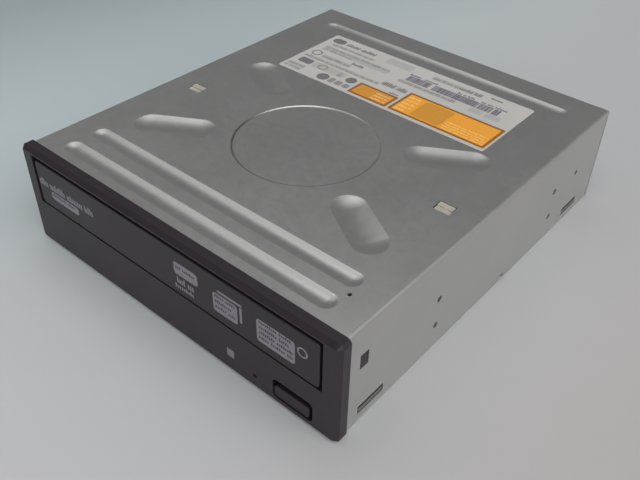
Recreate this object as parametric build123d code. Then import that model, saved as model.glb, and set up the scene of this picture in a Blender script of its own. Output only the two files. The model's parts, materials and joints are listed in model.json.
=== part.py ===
"""Internal half-height disc writer: folded steel case, black front panel, loading tray and laser mechanism.

Lengths are millimetres. x runs to the right as seen from the front, y runs from the front
panel's face towards the rear, z runs up. The drive is laid out from the disc outwards: the tray
fits round the disc, the loader frame round the tray, the case round the frame and the front
panel round the case. Each piece is moved at the end so that the origin lies under the middle.
"""

import os
from math import atan2, copysign, cos, degrees, hypot, pi, radians, sin, tan

from build123d import *

# Discs
disc_radius = 60.0
small_disc_radius = 40.0
disc_gap = 0.4

# Clearances
running_gap = 0.3
seat_gap = 0.15
pin_gap = 0.06
tooth_gap = 0.14

# Steel case, folded round the loader frame
sheet = 0.8
fold_radius = 1.2
wall_corner = 3.5
case_side_gap = 1.1
case_rear_gap = 1.9
roof_room = 5.65

# Standard mounting holes
mount_first_y = 52.3
mount_pitch_y = 79.25
mount_low_z = 10.0
mount_pitch_z = 11.84
mount_inset_x = 3.15
mount_hole_radius = 1.25
mount_collar = 0.9
mount_collar_depth = 0.7

# Pressed forms of the top cover
bead_end_room = 11.0
bead_width = 6.4
bead_depth = 0.85
bead_ys = (12.0, 23.9)
rear_bead_room = 15.9
rear_bead_width = 7.2
step_radius = 27.4
step_depth = 0.35
boss_inset = 15.8
boss_y_offset = 25.3
boss_length = 31.0
boss_width = 12.6
boss_depth = 1.15
boss_angle = 31.0
press_slope = 45.0
press_rim = 1.5
hook_inset = 8.8
hook_shift = 1.0
hook_slot_size = (6.6, 5.2)
dimple_inset = 10.6
dimple_y = 18.2
dimple_radius = 0.7

# Side wall cut-outs
bezel_hole_y = (11.0, 14.9)
bezel_hole_z = (23.7, 29.5)
front_side_slot_y = (11.3, 24.1)
rear_side_slot_room = (25.9, 13.4)
side_slot_z = (3.1, 6.5)
inspection_hole_room = 20.7
inspection_hole_z = 21.9
inspection_hole_radius = 1.1
edge_notch_y = 97.5
edge_notch_width = 3.0
edge_notch_height = 2.2
corner_slit = 0.4
corner_slit_top = 3.0
rear_cut_gap = 0.5

# Bottom cover
pan_flange_height = 7.2
pan_rear_lip = 2.4
pan_bead_xs = (-38.0, 38.0)
pan_bead_y = (50.0, 88.0)
pan_bead_width = 6.0
pan_bead_depth = 0.3
slot_tab_gap = 0.4
slot_tab_top_gap = 1.3
cover_screw_inset_x = 11.0
cover_screw_front_y = 28.0
cover_screw_rear_room = 17.7
cover_screw_radius = 1.2
cover_screw_head_radius = 2.3
cover_screw_head_height = 0.35
cover_screw_length = 5.4
recess_reach = 0.55
recess_depth = 0.6

# Front panel
bezel_depth = 4.7
bezel_side_lip = 1.3
bezel_lip = 0.35
bezel_wall = 2.4
bezel_rim = 1.8
bezel_bevel = 1.4
bezel_corner = 1.8
bezel_clip_thickness = 1.6
bezel_clip_gap = 0.3
bezel_clip_inset = 0.4
bezel_clip_tip = 1.2
bezel_foot_xs = (-40.0, 25.0)
bezel_foot_size = (9.0, 6.6, 1.5)

# Tray door in the panel's opening
door_opening_side_room = 1.4
door_opening_top_room = 2.0
door_opening_foot_room = 2.2
door_side_gap = 1.2
door_bottom_gap = 0.4
door_top_gap = 1.7
door_thickness = 2.1
door_setback = 0.15
door_corner = 1.6

# Button, its window, the lamp's window and the release hole
button_end_room = 11.0
button_width = 14.3
button_z = (3.4, 8.1)
button_gap_left = 0.4
button_gap_right = 1.5
button_gap_below = 0.5
button_gap_above = 3.1
button_setback = 0.25
button_corner = 1.2
button_travel = 0.5
button_flange = 0.9
button_flange_thickness = 0.8
button_window_corner = 1.8
led_button_room = 18.7
led_z = 8.7
led_window_size = (3.2, 3.5)
led_gap = 0.05
led_stop = 0.6
release_button_room = 8.0
release_hole_z = 6.0
release_hole_radius = 0.75
release_boss_radius = 2.2

# Tray
tray_rim = 6.8
tray_thickness = 4.2
tray_tail = 31.0
tray_floor_height = 1.6
small_disc_step = 0.7
window_half_width = 21.0
tray_web_inset = 4.8
tray_web_thickness = 2.0
tray_web_drop = 4.8
tray_web_rise = 5.6
tray_web_rib_inset = 4.0
tray_web_inner_rib_x = 30.0
tray_web_rib = 1.6
tray_skin = 1.2
tray_pocket_margin = 3.5
tray_pocket_side_room = 16.8
tray_leg_rib = 1.4
thumb_notch_radius = 9.0
rack_inset = 13.8
rack_front = 12.0
rack_end_room = 3.0
rack_thickness = 2.6
rack_height = 4.0

# Teeth, as shares of the tooth size
tooth_root = 1.15
tooth_tip = 0.9
pressure_angle = 20.0

# Loading gears
pinion_radius = 8.0
pinion_teeth = 16
wheel_radius = 12.8
wheel_teeth = 32
belt_pinion_teeth = 12
gear_front_room = 17.3
gear_post_radius = 1.8
drive_gear_bottom = 10.0
drive_gear_headroom = 0.6
wheel_z = (13.0, 15.5)
pinion_height = 3.8
drive_hub_radius = 5.0
belt_pinion_z = (12.2, 16.7)
pulley_z = (16.7, 21.3)
pulley_flange_radius = 10.6
pulley_groove_radius = 9.0
motor_pulley_flange_radius = 3.7
motor_pulley_groove_radius = 2.1
groove_height = 2.2
belt_thickness = 1.2
belt_reach = 29.4
motor_radius = 10.5
motor_height = 9.2
motor_boss_radius = 3.0
motor_boss_height = 0.6
motor_shaft_radius = 1.0
motor_shaft_depth = 4.0
motor_screw_offset = 6.5
motor_screw_head_radius = 2.0

# Loader frame
frame_wall = 1.8
guide_depth = 2.2
frame_setback = 1.3
frame_tail = 7.0
frame_foot_gap = 0.45
frame_headroom = 4.2
guide_ledge_reach = 3.3
guide_ledge_thickness = 1.5
guide_hook_reach = 2.0
guide_hook_thickness = 1.5
front_guide_hook_ys = ((8.0, 20.0), (46.0, 54.0), (100.0, 112.0))
rear_guide_hook_room = (13.0, 1.0)
deck_board_gap = 0.8
deck_slider_gap = 0.8
deck_z = (5.0, 6.6)
deck_rib_rooms = (2.8, 3.4)
deck_rib_thickness = 1.5
side_deck_gap = 4.0
side_deck_z = (8.0, 9.6)
front_bar_gap = 0.7
front_bar_thickness = 1.8
front_bar_drops = (6.6, 2.0)
rear_bar_gap = 1.2
rear_bar_thickness = 2.2
rear_bar_drops = (10.8, 2.4)
screw_post_radius = 3.4
gear_collar_radius = 3.2
mount_relief_radius = 2.6
mount_relief_depth = 6.0

# Traverse, which carries the spindle and the laser unit
spindle_inset = 26.0
disc_front_room = 5.3
pivot_rear_room = 7.0
pivot_z = 12.75
pivot_radius = 2.0
pivot_length = 6.0
pivot_block_half_length = 5.0
pivot_block_below = 4.75
pivot_block_above = 4.25
pivot_block_gap = 1.0
pivot_mouth = 3.2
lift_angle = 4.5
lift_frame_side = 9.0
lift_frame_tail = 3.0
lift_frame_bar = 6.0
lift_frame_thickness = 3.5
cam_pin_xs = (-18.0, 30.0)
cam_pin_radius = 1.2
cam_pin_tip = 0.2
damper_inset_x = 4.8
damper_insets_y = (16.0, 15.0)
damper_radius = 3.6
damper_height = 4.2
damper_groove_z = 1.3
damper_groove_radius = 2.6
damper_bore = 1.4
base_thickness = 1.4
base_side_margin = 1.2
damper_base_reach = 5.2
base_insets_y = (9.0, 8.0)
base_window_side_bars = (2.0, 8.0)
base_window_front_room = 18.0
base_window_rear_bar = 1.8
base_ear_radius = 4.4
rod_radius = 1.5
rod_height = 3.2
rod_front_room = 16.4
rod_rear_room = 0.4
rod_holder_thickness = 1.6
rod_holder_width = 5.0
rod_holder_wall = 1.2

# Spindle
motor_board_half_width = 17.0
motor_board_reach = (16.4, 16.2)
motor_board_thickness = 1.0
stator_radius = 11.0
stator_height = 2.4
stator_poles = 9
stator_gap_depth = 5.0
bearing_radius = 3.2
rotor_radius = 13.4
rotor_lift = 3.2
rotor_wall = 0.8
spindle_radius = 1.5
turntable_radius = 14.4
turntable_thickness = 2.8
disc_lift = 1.6
friction_ring_inner = 10.8
friction_ring_height = 0.5
hub_radius = 7.4
hub_height = 2.6
hub_cone_start = 1.0
hub_tip_radius = 5.2
hub_magnet_radius = 3.6
hub_magnet_drop = 0.4

# Clamp over the disc
bridge_end_inset = 2.5
bridge_strip_width = 30.0
bridge_thickness = 1.2
bridge_corner = 2.4
bridge_hole_radius = 11.0
bridge_ring_radius = 21.0
bridge_slot_x = 38.0
bridge_slot_size = (22.0, 14.0)
bridge_hook_gap = 0.35
hook_step = 0.5
clamper_radius = 13.0
clamper_neck_radius = 10.2
clamper_flange_radius = 14.0
clamper_flange = 1.4
clamper_plate_radius = 8.6
clamper_plate_height = 1.0

# Laser unit
sled_half_width = 21.0
sled_front_room = 16.6
sled_length = 20.8
sled_drop = 3.0
sled_rise = 5.0
sled_wall = 1.6
sled_corner = 3.2
tray_rod_room = 6.4
lens_inner_radius = 24.6
lens_rim_room = 2.4
pocket_half_width = 10.0
pocket_front_wall = 1.8
pocket_rear_wall = 5.8
rod_sleeve_radius = 3.0
sleeve_arm_length = 6.0
yoke_thickness = 0.8
yoke_magnet = (6.0, 1.6, 4.4)
magnet_gap = 0.6
lens_carrier_size = (9.0, 6.0, 4.0)
lens_radius = 2.3
lens_seat = 0.8
lens_dome = 1.0
lens_disc_gap = 1.8
focus_travel = 0.6
carrier_gap = 0.6
laser_can_radius = 2.8
laser_can_length = 3.4
screw_rod_gap = 7.4
screw_radius = 1.5
screw_journal_radius = 1.2
screw_front_room = 19.0
screw_end_gap = 1.0
screw_tail = 2.4
nut_half_width = 3.2
sled_motor_radius = 5.4
sled_motor_gap = 0.4
sled_motor_end_gap = 0.2
sled_motor_foot_inset = 1.2

# Cam slider
slider_x = (-44.0, 36.0)
slider_thickness = 3.2
slider_wheel_gap = 2.4
slider_frame_gap = 3.6
slider_top_wall = 2.45
slider_travel = 20.0
slider_slot_gap = 0.35
slider_slot_flat = 2.4
slider_flange_reach = 3.4
slider_flange_thickness = 1.5
slider_rack_length = 24.0
slider_rack_pitch = 2.5
slider_rack_tooth = 1.0
slider_rack_height = 2.8
slider_hook_xs = (-22.0, 27.0)
slider_hook_width = 5.0
slider_hook_wall = 1.8

# Boards
board_thickness = 1.6
board_gap = 1.85
board_side_gap = 2.3
board_rear_gap = 1.1
board_depth = 73.6
board_screw_inset = (4.5, 10.0)
board_screw_head_radius = 2.5
board_notch_radius = 4.6
front_board_setback = 4.5
front_board_thickness = 1.2
front_board_z = (2.2, 14.2)
front_board_led_room = 6.3
front_board_side_gap = 1.3
switch_size = (6.0, 6.0)
switch_depth = 3.5
plunger_radius = 1.7
plunger_travel = 0.25
plunger_hold = 0.6
lamp_radius = 1.5
lamp_depth = 4.6
lamp_flange_radius = 1.8
lamp_flange = 0.8
ribbon_thickness = 0.3
ribbon_width = 7.5
ribbon_frame_gap = 2.5
ribbon_rear_gap = 1.6
ribbon_tab_inset = 0.8
ribbon_connector_size = (10.7, 4.0, 2.4)
ribbon_connector_inset = 0.8
ribbon_plug_height = 0.8

# Chips on the main board: centre x, distance from the board's front edge, width, depth, height
controller_chip_size = (-6.0, 32.0, 24.0, 24.0, 1.6)
driver_chip_size = (22.0, 38.0, 14.0, 10.0, 2.2)
memory_chip_size = (-29.0, 28.0, 10.2, 16.0, 1.2)
chip_lead = 0.9
capacitor_inset = 9.0
left_capacitor_rooms = (38.0, 47.0)
right_capacitor_room = 42.0
capacitor_radius = 3.1
capacitor_height = 3.0
capacitor_edge = 0.3

# Rear connectors, from left to right as seen from the front
connector_depth = 11.0
connector_floor = 2.6
power_end_room = 4.0
power_width = 21.4
power_height = 9.6
power_wall = 1.1
power_pin_radius = 1.05
power_pitch = 5.08
power_pins_count = 4
power_corner = 2.2
ide_power_gap = 3.2
ide_width = 58.2
ide_height = 9.2
ide_wall = 1.2
ide_key_width = 4.4
ide_columns = 20
pin_pitch = 2.54
pin_side = 0.64
pin_tip_setback = 1.6
jumper_ide_gap = 4.2
jumper_width = 8.0
jumper_height = 5.4
jumper_columns = 3
jumper_cap_inset = 0.15
jumper_cap_gap = 0.8
audio_jumper_gap = 4.0
audio_width = 12.0
audio_height = 6.4
audio_wall = 0.9
audio_pins_count = 4
audio_latch_width = 5.08

# Label
label_side_rooms = (22.4, 22.0)
label_rear_room = 21.8
label_depth = 40.0
label_thickness = 0.1
label_corner = 1.0

# Levels, from the pan upwards
body_lift = bezel_lip
pan_top = body_lift + sheet
frame_bottom = pan_top + frame_foot_gap
board_z = pan_top + board_gap
board_top = board_z + board_thickness
traverse_z = (pivot_z - lift_frame_thickness / 2, pivot_z + lift_frame_thickness / 2)
base_z = (traverse_z[1] + damper_groove_z, traverse_z[1] + damper_groove_z + base_thickness)
rod_z = base_z[1] + rod_height
sled_z = (rod_z - sled_drop, rod_z + sled_rise)
tray_bottom = rod_z + tray_rod_room
tray_top = tray_bottom + tray_thickness
disc_floor = tray_bottom + tray_floor_height
turntable_top = disc_floor + disc_lift
rotor_z = (base_z[1] + rotor_lift, turntable_top - turntable_thickness)
hub_top = turntable_top + hub_height
frame_top = tray_top + frame_headroom
bridge_z = (frame_top, frame_top + bridge_thickness)
clamper_bottom = turntable_top + friction_ring_height + running_gap
ceiling = frame_top + roof_room
body_top = ceiling + sheet
bezel_height = body_top + bezel_lip
drive_gear_z = (drive_gear_bottom, tray_bottom - drive_gear_headroom)
motor_top = deck_z[1] + motor_height
tray_web_z = (tray_bottom - tray_web_drop, tray_top + tray_web_rise)
door_opening_z = (tray_web_z[0] - door_opening_foot_room, bezel_height - door_opening_top_room)
front_bar_z = (tray_web_z[0] - front_bar_drops[0], tray_web_z[0] - front_bar_drops[1])
rear_bar_z = (tray_bottom - rear_bar_drops[0], tray_bottom - rear_bar_drops[1])
pivot_block_z = (pivot_z - pivot_block_below, pivot_z + pivot_block_above)
lens_top = turntable_top - lens_disc_gap
lens_carrier_z = lens_top - lens_dome - lens_carrier_size[2]
pocket_floor = lens_carrier_z - focus_travel - carrier_gap - yoke_thickness
slider_z = (pan_top + running_gap, pivot_z + slider_top_wall)
slider_rack_z = (slider_z[1] - slider_rack_height, slider_z[1])
ribbon_z = (frame_bottom, frame_bottom + ribbon_thickness)
mount_zs = (body_lift + mount_low_z, body_lift + mount_low_z + mount_pitch_z)

# Places across the drive
tray_half_width = disc_radius + tray_rim
frame_inner = tray_half_width + running_gap + guide_depth
frame_half_width = frame_inner + frame_wall
half_body = frame_half_width + case_side_gap + sheet
half_bezel = half_body + bezel_side_lip
pan_half_width = half_body - sheet - seat_gap
door_opening_width = 2 * (tray_half_width + door_opening_side_room)
tray_web_half_width = tray_half_width - tray_web_inset
guide_ledge_inner = tray_half_width - guide_ledge_reach
guide_hook_inner = tray_half_width - guide_hook_reach
rod_x = sled_half_width + rod_sleeve_radius
rod_xs = (-rod_x, rod_x)
screw_x = -rod_x - screw_rod_gap
base_half_width = sled_motor_radius + base_side_margin - screw_x
base_window_x = (base_window_side_bars[0] - base_half_width, base_half_width - base_window_side_bars[1])
damper_x = base_half_width + damper_base_reach
lift_frame_half_width = damper_x + damper_inset_x
side_deck_inner = lift_frame_half_width + side_deck_gap
pivot_block_inner = lift_frame_half_width + pivot_block_gap
bridge_half_width = frame_half_width - bridge_end_inset
hook_slot_x = bridge_half_width - hook_inset
boss_x = hook_slot_x - boss_inset
bead_half_length = half_body - bead_end_room
mount_pitch_x = 2 * (half_body - mount_inset_x)
rack_x = rack_inset - tray_half_width
main_board_half_width = frame_inner - board_side_gap
ribbon_edge = lift_frame_half_width + ribbon_frame_gap
ribbon_x = (-ribbon_edge - ribbon_width, -ribbon_edge)
button_x = (half_bezel - button_end_room - button_width, half_bezel - button_end_room)
button_window_x = (button_x[0] - button_gap_left, button_x[1] + button_gap_right)
button_window_z = (button_z[0] - button_gap_below, button_z[1] + button_gap_above)
led_place = (button_x[0] - led_button_room, led_z)
release_hole_x = button_x[0] - release_button_room
front_board_x = (led_place[0] - front_board_led_room, frame_inner - front_board_side_gap)
power_x = (power_end_room - half_body, power_end_room - half_body + power_width)
ide_x = (power_x[1] + ide_power_gap, power_x[1] + ide_power_gap + ide_width)
jumper_x = (ide_x[1] + jumper_ide_gap, ide_x[1] + jumper_ide_gap + jumper_width)
audio_x = (jumper_x[1] + audio_jumper_gap, jumper_x[1] + audio_jumper_gap + audio_width)

# Places along the drive
gear_y = bezel_depth + gear_front_room
loading_room = gear_front_room + wheel_radius + slider_wheel_gap + slider_thickness + slider_frame_gap
spindle_y = bezel_depth + max(disc_front_room + disc_radius, loading_room + spindle_inset)
lift_front = spindle_y - spindle_inset
slider_y = (lift_front - slider_frame_gap - slider_thickness, lift_front - slider_frame_gap)
slider_flange_y = slider_y[0] - slider_flange_reach
tray_front = door_setback + door_thickness
tray_rear = spindle_y + disc_radius + tray_tail
rack_y = (rack_front, tray_rear - rack_end_room)
frame_front = bezel_depth + frame_setback
frame_rear = tray_rear + frame_tail
body_rear = frame_rear + case_rear_gap + sheet
pivot_y = tray_rear - pivot_rear_room
pivot_block_y = (pivot_y - pivot_block_half_length, pivot_y + pivot_block_half_length)
lift_frame_y = (lift_front, pivot_y + lift_frame_tail)
lift_drop = (pivot_y - (slider_y[0] + slider_y[1]) / 2) * sin(radians(lift_angle))
damper_ys = (lift_frame_y[0] + damper_insets_y[0], lift_frame_y[1] - damper_insets_y[1])
base_y = (lift_frame_y[0] + base_insets_y[0], lift_frame_y[1] - base_insets_y[1])
base_window_y = (spindle_y + base_window_front_room, base_y[1] - base_window_rear_bar)
rod_y = (spindle_y + rod_front_room, base_y[1] - rod_rear_room)
motor_board_y = (spindle_y - motor_board_reach[0], spindle_y + motor_board_reach[1])
sled_y = (spindle_y + sled_front_room, spindle_y + sled_front_room + sled_length)
lens_y = spindle_y + lens_inner_radius
sled_travel = disc_radius - lens_rim_room - lens_inner_radius
pocket_y = (sled_y[0] + pocket_front_wall, sled_y[1] - pocket_rear_wall)
sled_motor_front = sled_y[1] - sled_wall + sled_travel + sled_motor_gap
sled_motor_y = (sled_motor_front, rod_y[1] - rod_holder_thickness - sled_motor_end_gap)
sled_motor_foot_y = (sled_motor_y[0] + sled_motor_foot_inset, sled_motor_y[1] - sled_motor_foot_inset)
screw_y = (spindle_y + screw_front_room, sled_motor_y[0] - screw_end_gap)
bridge_y = (spindle_y - bridge_strip_width / 2, spindle_y + bridge_strip_width / 2)
hook_slot_y = spindle_y + hook_shift
front_board_y = (bezel_depth + front_board_setback, bezel_depth + front_board_setback + front_board_thickness)
deck_y = (front_board_y[1] + deck_board_gap, slider_y[0] - deck_slider_gap)
deck_rib_ys = (deck_y[0] + deck_rib_rooms[0], deck_y[1] - deck_rib_rooms[1])
side_deck_y = (slider_y[1] + running_gap, pivot_block_y[0])
front_bar_y = (bezel_depth + front_bar_gap, bezel_depth + front_bar_gap + front_bar_thickness)
rear_bar_y = (tray_rear + rear_bar_gap, tray_rear + rear_bar_gap + rear_bar_thickness)
rear_guide_hook_y = (tray_rear - rear_guide_hook_room[0], tray_rear - rear_guide_hook_room[1])
guide_hook_ys = front_guide_hook_ys + (rear_guide_hook_y,)
main_board_y = (body_rear - board_rear_gap - board_depth, body_rear - board_rear_gap)
label_y = (body_rear - label_rear_room - label_depth, body_rear - label_rear_room)
label_x = (label_side_rooms[0] - half_body, half_body - label_side_rooms[1])
rear_bead_y = body_rear - rear_bead_room
rear_side_slot_y = (body_rear - rear_side_slot_room[0], body_rear - rear_side_slot_room[1])
side_slot_ys = (front_side_slot_y, rear_side_slot_y)
inspection_hole_y = body_rear - inspection_hole_room
mount_ys = (mount_first_y, mount_first_y + mount_pitch_y)

# Gears and the places of posts, screws and cans seen from above
rack_module = 2 * pinion_radius / pinion_teeth
wheel_module = 2 * wheel_radius / wheel_teeth
belt_pinion_radius = belt_pinion_teeth * wheel_module / 2
drive_gear_place = (rack_x + pinion_radius, gear_y)
pulley_place = (drive_gear_place[0] + wheel_radius + belt_pinion_radius, gear_y)
motor_place = (pulley_place[0] + belt_reach, gear_y)
cover_screw_x = half_body - cover_screw_inset_x
cover_screw_ys = (cover_screw_front_y, body_rear - cover_screw_rear_room)
cover_screw_places = [(x, y) for y in cover_screw_ys for x in (-cover_screw_x, cover_screw_x)]
board_screw_x = main_board_half_width - board_screw_inset[0]
board_screw_y = main_board_y[0] + board_screw_inset[1]
board_screw_places = ((-board_screw_x, board_screw_y), (board_screw_x, board_screw_y))
capacitor_x = main_board_half_width - capacitor_inset
capacitor_places = [(-capacitor_x, main_board_y[0] + room) for room in left_capacitor_rooms]
capacitor_places.append((capacitor_x, main_board_y[0] + right_capacitor_room))
dimple_place = (half_body - dimple_inset, dimple_y)
switch_place = ((button_x[0] + button_x[1]) / 2, (button_z[0] + button_z[1]) / 2)


def both(half):
    """The range from minus half to plus half."""
    return (-half, half)


def grown(limits, amount):
    """A range made longer at both ends."""
    return (limits[0] - amount, limits[1] + amount)


def around(centre, half):
    """The range of one half length on either side of a centre."""
    return (centre - half, centre + half)


def middle(limits):
    return (limits[0] + limits[1]) / 2


def length(limits):
    return limits[1] - limits[0]


def block(x, y, z):
    """A box from its limits along x, y and z."""
    centre = Pos(middle(x), middle(y), middle(z))
    return centre * Box(length(x), length(y), length(z))


def post(place, z, radius):
    """An upright round post."""
    return Pos(place[0], place[1], middle(z)) * Cylinder(radius, length(z))


def tube(place, z, radius, bore):
    """An upright round post with a hole through it."""
    return post(place, z, radius) - post(place, z, bore)


def rod_along_y(x, z, y, radius):
    return Pos(x, middle(y), z) * Rot(90, 0, 0) * Cylinder(radius, length(y))


def rod_along_x(y, z, x, radius):
    return Pos(middle(x), y, z) * Rot(0, 90, 0) * Cylinder(radius, length(x))


def rounded_block(x, y, z, corner, axis=Axis.Z):
    """A box whose four edges along one axis are rounded."""
    solid = block(x, y, z)
    return fillet(solid.edges().filter_by(axis), corner)


def mirrored(solid):
    """The solid and its copy on the other side of the middle."""
    return [solid, mirror(solid, Plane.YZ)]


def slot_face(size, place, angle=0.0):
    """A round-ended slot seen from above."""
    return Pos(*place) * Rot(0, 0, angle) * SlotOverall(size[0], size[1])


def pressed(cover, face, z, depth, slope):
    """Press a face into a sheet from above: the hollow above and the bulge below it."""
    hollow = extrude(Pos(0, 0, z) * face, amount=-depth, taper=slope)
    bulge = extrude(Pos(0, 0, z - sheet) * face, amount=-depth, taper=slope)
    return cover + bulge - hollow


def ball_ended_rod(reach, radius):
    """A rod along x with ball ends, turned from half its outline."""
    arcs = [CenterArc((-reach, 0), radius, 90, 90), CenterArc((reach, 0), radius, 0, 90)]
    top = Line((-reach, radius), (reach, radius))
    axis = Line((-reach - radius, 0), (reach + radius, 0))
    return revolve(make_face(arcs + [top, axis]), Axis.X)


def scooped(cover, size, place, angle, z, depth):
    """Press a round-bottomed trough with round ends into a sheet from above."""
    radius = (size[1] ** 2 / 4 + depth ** 2) / (2 * depth)
    reach = (size[0] - size[1]) / 2
    seat = Pos(*place, z + radius - depth) * Rot(0, 0, angle)
    below = block(both(half_body), (0, body_rear), (z - depth - 2 * sheet, z - sheet / 2))
    bulge = (seat * ball_ended_rod(reach, radius + sheet)) & below
    return cover + bulge - seat * ball_ended_rod(reach, radius)


# Steel case


def folded_edges(solid):
    """The two side edges and the rear edge of a box's top."""
    return solid.faces().sort_by(Axis.Z)[-1].edges().sort_by(Axis.Y)[1:]


def cover_blank():
    """Folded blank: roof, two side walls and the rear flap, open in front and below."""
    outer = block(both(half_body), (bezel_depth, body_rear), (body_lift, body_top))
    outer = fillet(folded_edges(outer), fold_radius)
    inner = block(
        both(half_body - sheet),
        (bezel_depth - sheet, body_rear - sheet),
        (body_lift - sheet, ceiling),
    )
    inner = fillet(folded_edges(inner), fold_radius - sheet)
    return outer - inner


def cover_presses(cover):
    """Beads, centre step and the four bosses around it."""
    for y in bead_ys:
        cover = scooped(cover, (2 * bead_half_length, bead_width), (0, y), 0, body_top, bead_depth)
    rear_bead = (2 * bead_half_length, rear_bead_width)
    cover = scooped(cover, rear_bead, (0, rear_bead_y), 0, body_top, bead_depth)
    for side_x in (-1, 1):
        for side_y in (-1, 1):
            place = (side_x * boss_x, hook_slot_y + side_y * boss_y_offset)
            angle = side_x * side_y * boss_angle
            cover = scooped(cover, (boss_length, boss_width), place, angle, body_top, boss_depth)
    rims = cover.faces().filter_by(Axis.Z).sort_by(Axis.Z)[-1].inner_wires()
    cover = fillet([edge for rim in rims for edge in rim.edges()], press_rim)
    face = Pos(0, spindle_y) * Circle(step_radius)
    return pressed(cover, face, body_top, step_depth, press_slope)


def side_wall_cuts():
    """What is cut out of the right side wall."""
    wall = (half_body - 2 * sheet, half_body + sheet)
    cuts = [block(wall, bezel_hole_y, bezel_hole_z)]
    for slot in side_slot_ys:
        cuts.append(block(wall, slot, side_slot_z))
    cuts.append(rod_along_x(inspection_hole_y, inspection_hole_z, wall, inspection_hole_radius))
    notch_y = around(edge_notch_y, edge_notch_width / 2)
    cuts.append(block(wall, notch_y, (0, body_lift + edge_notch_height)))
    slit_z = (0, body_top - corner_slit_top)
    slit_y = (body_rear - sheet - corner_slit, body_rear - sheet)
    cuts.append(block(wall, slit_y, slit_z))
    corner_y = (slit_y[0] - wall_corner, slit_y[0])
    corner_top = body_lift + wall_corner
    round_off = rod_along_x(corner_y[0], corner_top, wall, wall_corner)
    cuts.append(block(wall, corner_y, (0, corner_top)) - round_off)
    return cuts


def mount_hole_parts():
    """Drawn collars of the side mounting holes, and the holes through them."""
    inner = half_body - sheet
    collars = []
    holes = []
    for y in mount_ys:
        for z in mount_zs:
            collar = (inner - mount_collar_depth, inner)
            collars.append(rod_along_x(y, z, collar, mount_hole_radius + mount_collar))
            holes.append(rod_along_x(y, z, (inner - sheet, half_body), mount_hole_radius))
    return collars, holes


def rear_cuts():
    """Openings of the rear flap round the connectors, open at its lower edge."""
    flap = (body_rear - 2 * sheet, body_rear + sheet)
    heights = (
        (ide_x, ide_height),
        (power_x, power_height),
        (jumper_x, jumper_height),
        (audio_x, audio_height),
    )
    return [
        block(grown(x, rear_cut_gap), flap, (0, board_top + height + rear_cut_gap))
        for x, height in heights
    ]


def make_top_cover():
    cover = cover_presses(cover_blank())
    collars, holes = mount_hole_parts()
    for collar in collars:
        cover += mirrored(collar)
    for cut in side_wall_cuts() + holes:
        cover -= mirrored(cut)
    cover -= rear_cuts()
    hook_y = around(hook_slot_y, hook_slot_size[1] / 2)
    hook_x = around(hook_slot_x, hook_slot_size[0] / 2)
    cover -= mirrored(block(hook_x, hook_y, (ceiling - sheet, body_top + sheet)))
    return cover - post(dimple_place, (ceiling - sheet, body_top + sheet), dimple_radius)


def pan_tabs():
    """Tabs of the right flange that snap into the cover's side slots."""
    tab_x = (pan_half_width - sheet, half_body - seat_gap)
    tab_z = (side_slot_z[0] + slot_tab_gap, side_slot_z[1] - slot_tab_top_gap)
    return [block(tab_x, grown(slot, -slot_tab_gap), tab_z) for slot in side_slot_ys]


def make_bottom_cover():
    """Shallow pan with side flanges inside the cover's walls."""
    y = (bezel_depth + seat_gap, body_rear - sheet - seat_gap)
    pan = block(both(pan_half_width), y, (body_lift, body_lift + pan_flange_height))
    hollow_y = (y[0] - sheet, y[1] - sheet)
    pan -= block(both(pan_half_width - sheet), hollow_y, (pan_top, body_top))
    lip_z = (body_lift + pan_rear_lip, body_top)
    pan -= block(both(pan_half_width - sheet), around(y[1], 2 * sheet), lip_z)
    for x in pan_bead_xs:
        face = slot_face((length(pan_bead_y), pan_bead_width), (x, middle(pan_bead_y)), 90)
        rise = extrude(Pos(0, 0, pan_top) * face, amount=pan_bead_depth, taper=press_slope)
        groove = extrude(Pos(0, 0, body_lift) * face, amount=pan_bead_depth, taper=press_slope)
        pan = pan + rise - groove
    for tab in pan_tabs():
        pan += mirrored(tab)
    for place in cover_screw_places:
        pan -= post(place, (0, pan_top), cover_screw_radius)
        pan -= post(place, (0, body_lift + cover_screw_head_height), cover_screw_head_radius)
    for x in both(mount_pitch_x / 2):
        for y in mount_ys:
            pan -= post((x, y), (0, pan_top), mount_hole_radius)
    return pan


def pan_head_screw(place, head_z, shank_top, head_radius, shank_radius):
    """A screw driven upwards, head below, with a cross recess."""
    screw = post(place, head_z, head_radius) + post(place, (head_z[0], shank_top), shank_radius)
    arm = head_radius * recess_reach
    recess_z = around(head_z[0], length(head_z) * recess_depth)
    for arm_x, arm_y in ((arm, arm / 4), (arm / 4, arm)):
        screw -= block(around(place[0], arm_x), around(place[1], arm_y), recess_z)
    return screw


def make_cover_screws():
    head_z = (body_lift, body_lift + cover_screw_head_height)
    top = body_lift + cover_screw_length
    return [
        pan_head_screw(place, head_z, top, cover_screw_head_radius - seat_gap, cover_screw_radius)
        for place in cover_screw_places
    ]


# Front panel, door and button


def bezel_shell():
    """Bevelled panel with a rim behind it that meets the case."""
    shell = block(both(half_bezel), (0, bezel_depth), (0, bezel_height))
    shell = fillet(shell.edges().filter_by(Axis.Y), bezel_corner)
    front = shell.faces().sort_by(Axis.Y)[0]
    shell = chamfer(front.edges(), bezel_bevel)
    hollow_x = both(half_bezel - bezel_rim)
    hollow_z = (bezel_rim, bezel_height - bezel_rim)
    return shell - block(hollow_x, (bezel_wall, 2 * bezel_depth), hollow_z)


def bezel_clip():
    """Right snap arm, whose hook fills the square hole in the cover's side wall."""
    arm_outer = half_body - sheet - bezel_clip_gap
    arm_x = (arm_outer - bezel_clip_thickness, arm_outer)
    arm_z = grown(bezel_hole_z, -bezel_clip_inset)
    arm = block(arm_x, (bezel_wall / 2, bezel_hole_y[1] + bezel_clip_tip), arm_z)
    hook_x = (arm_x[0], half_body - seat_gap)
    return arm + block(hook_x, grown(bezel_hole_y, -bezel_clip_inset), arm_z)


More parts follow.
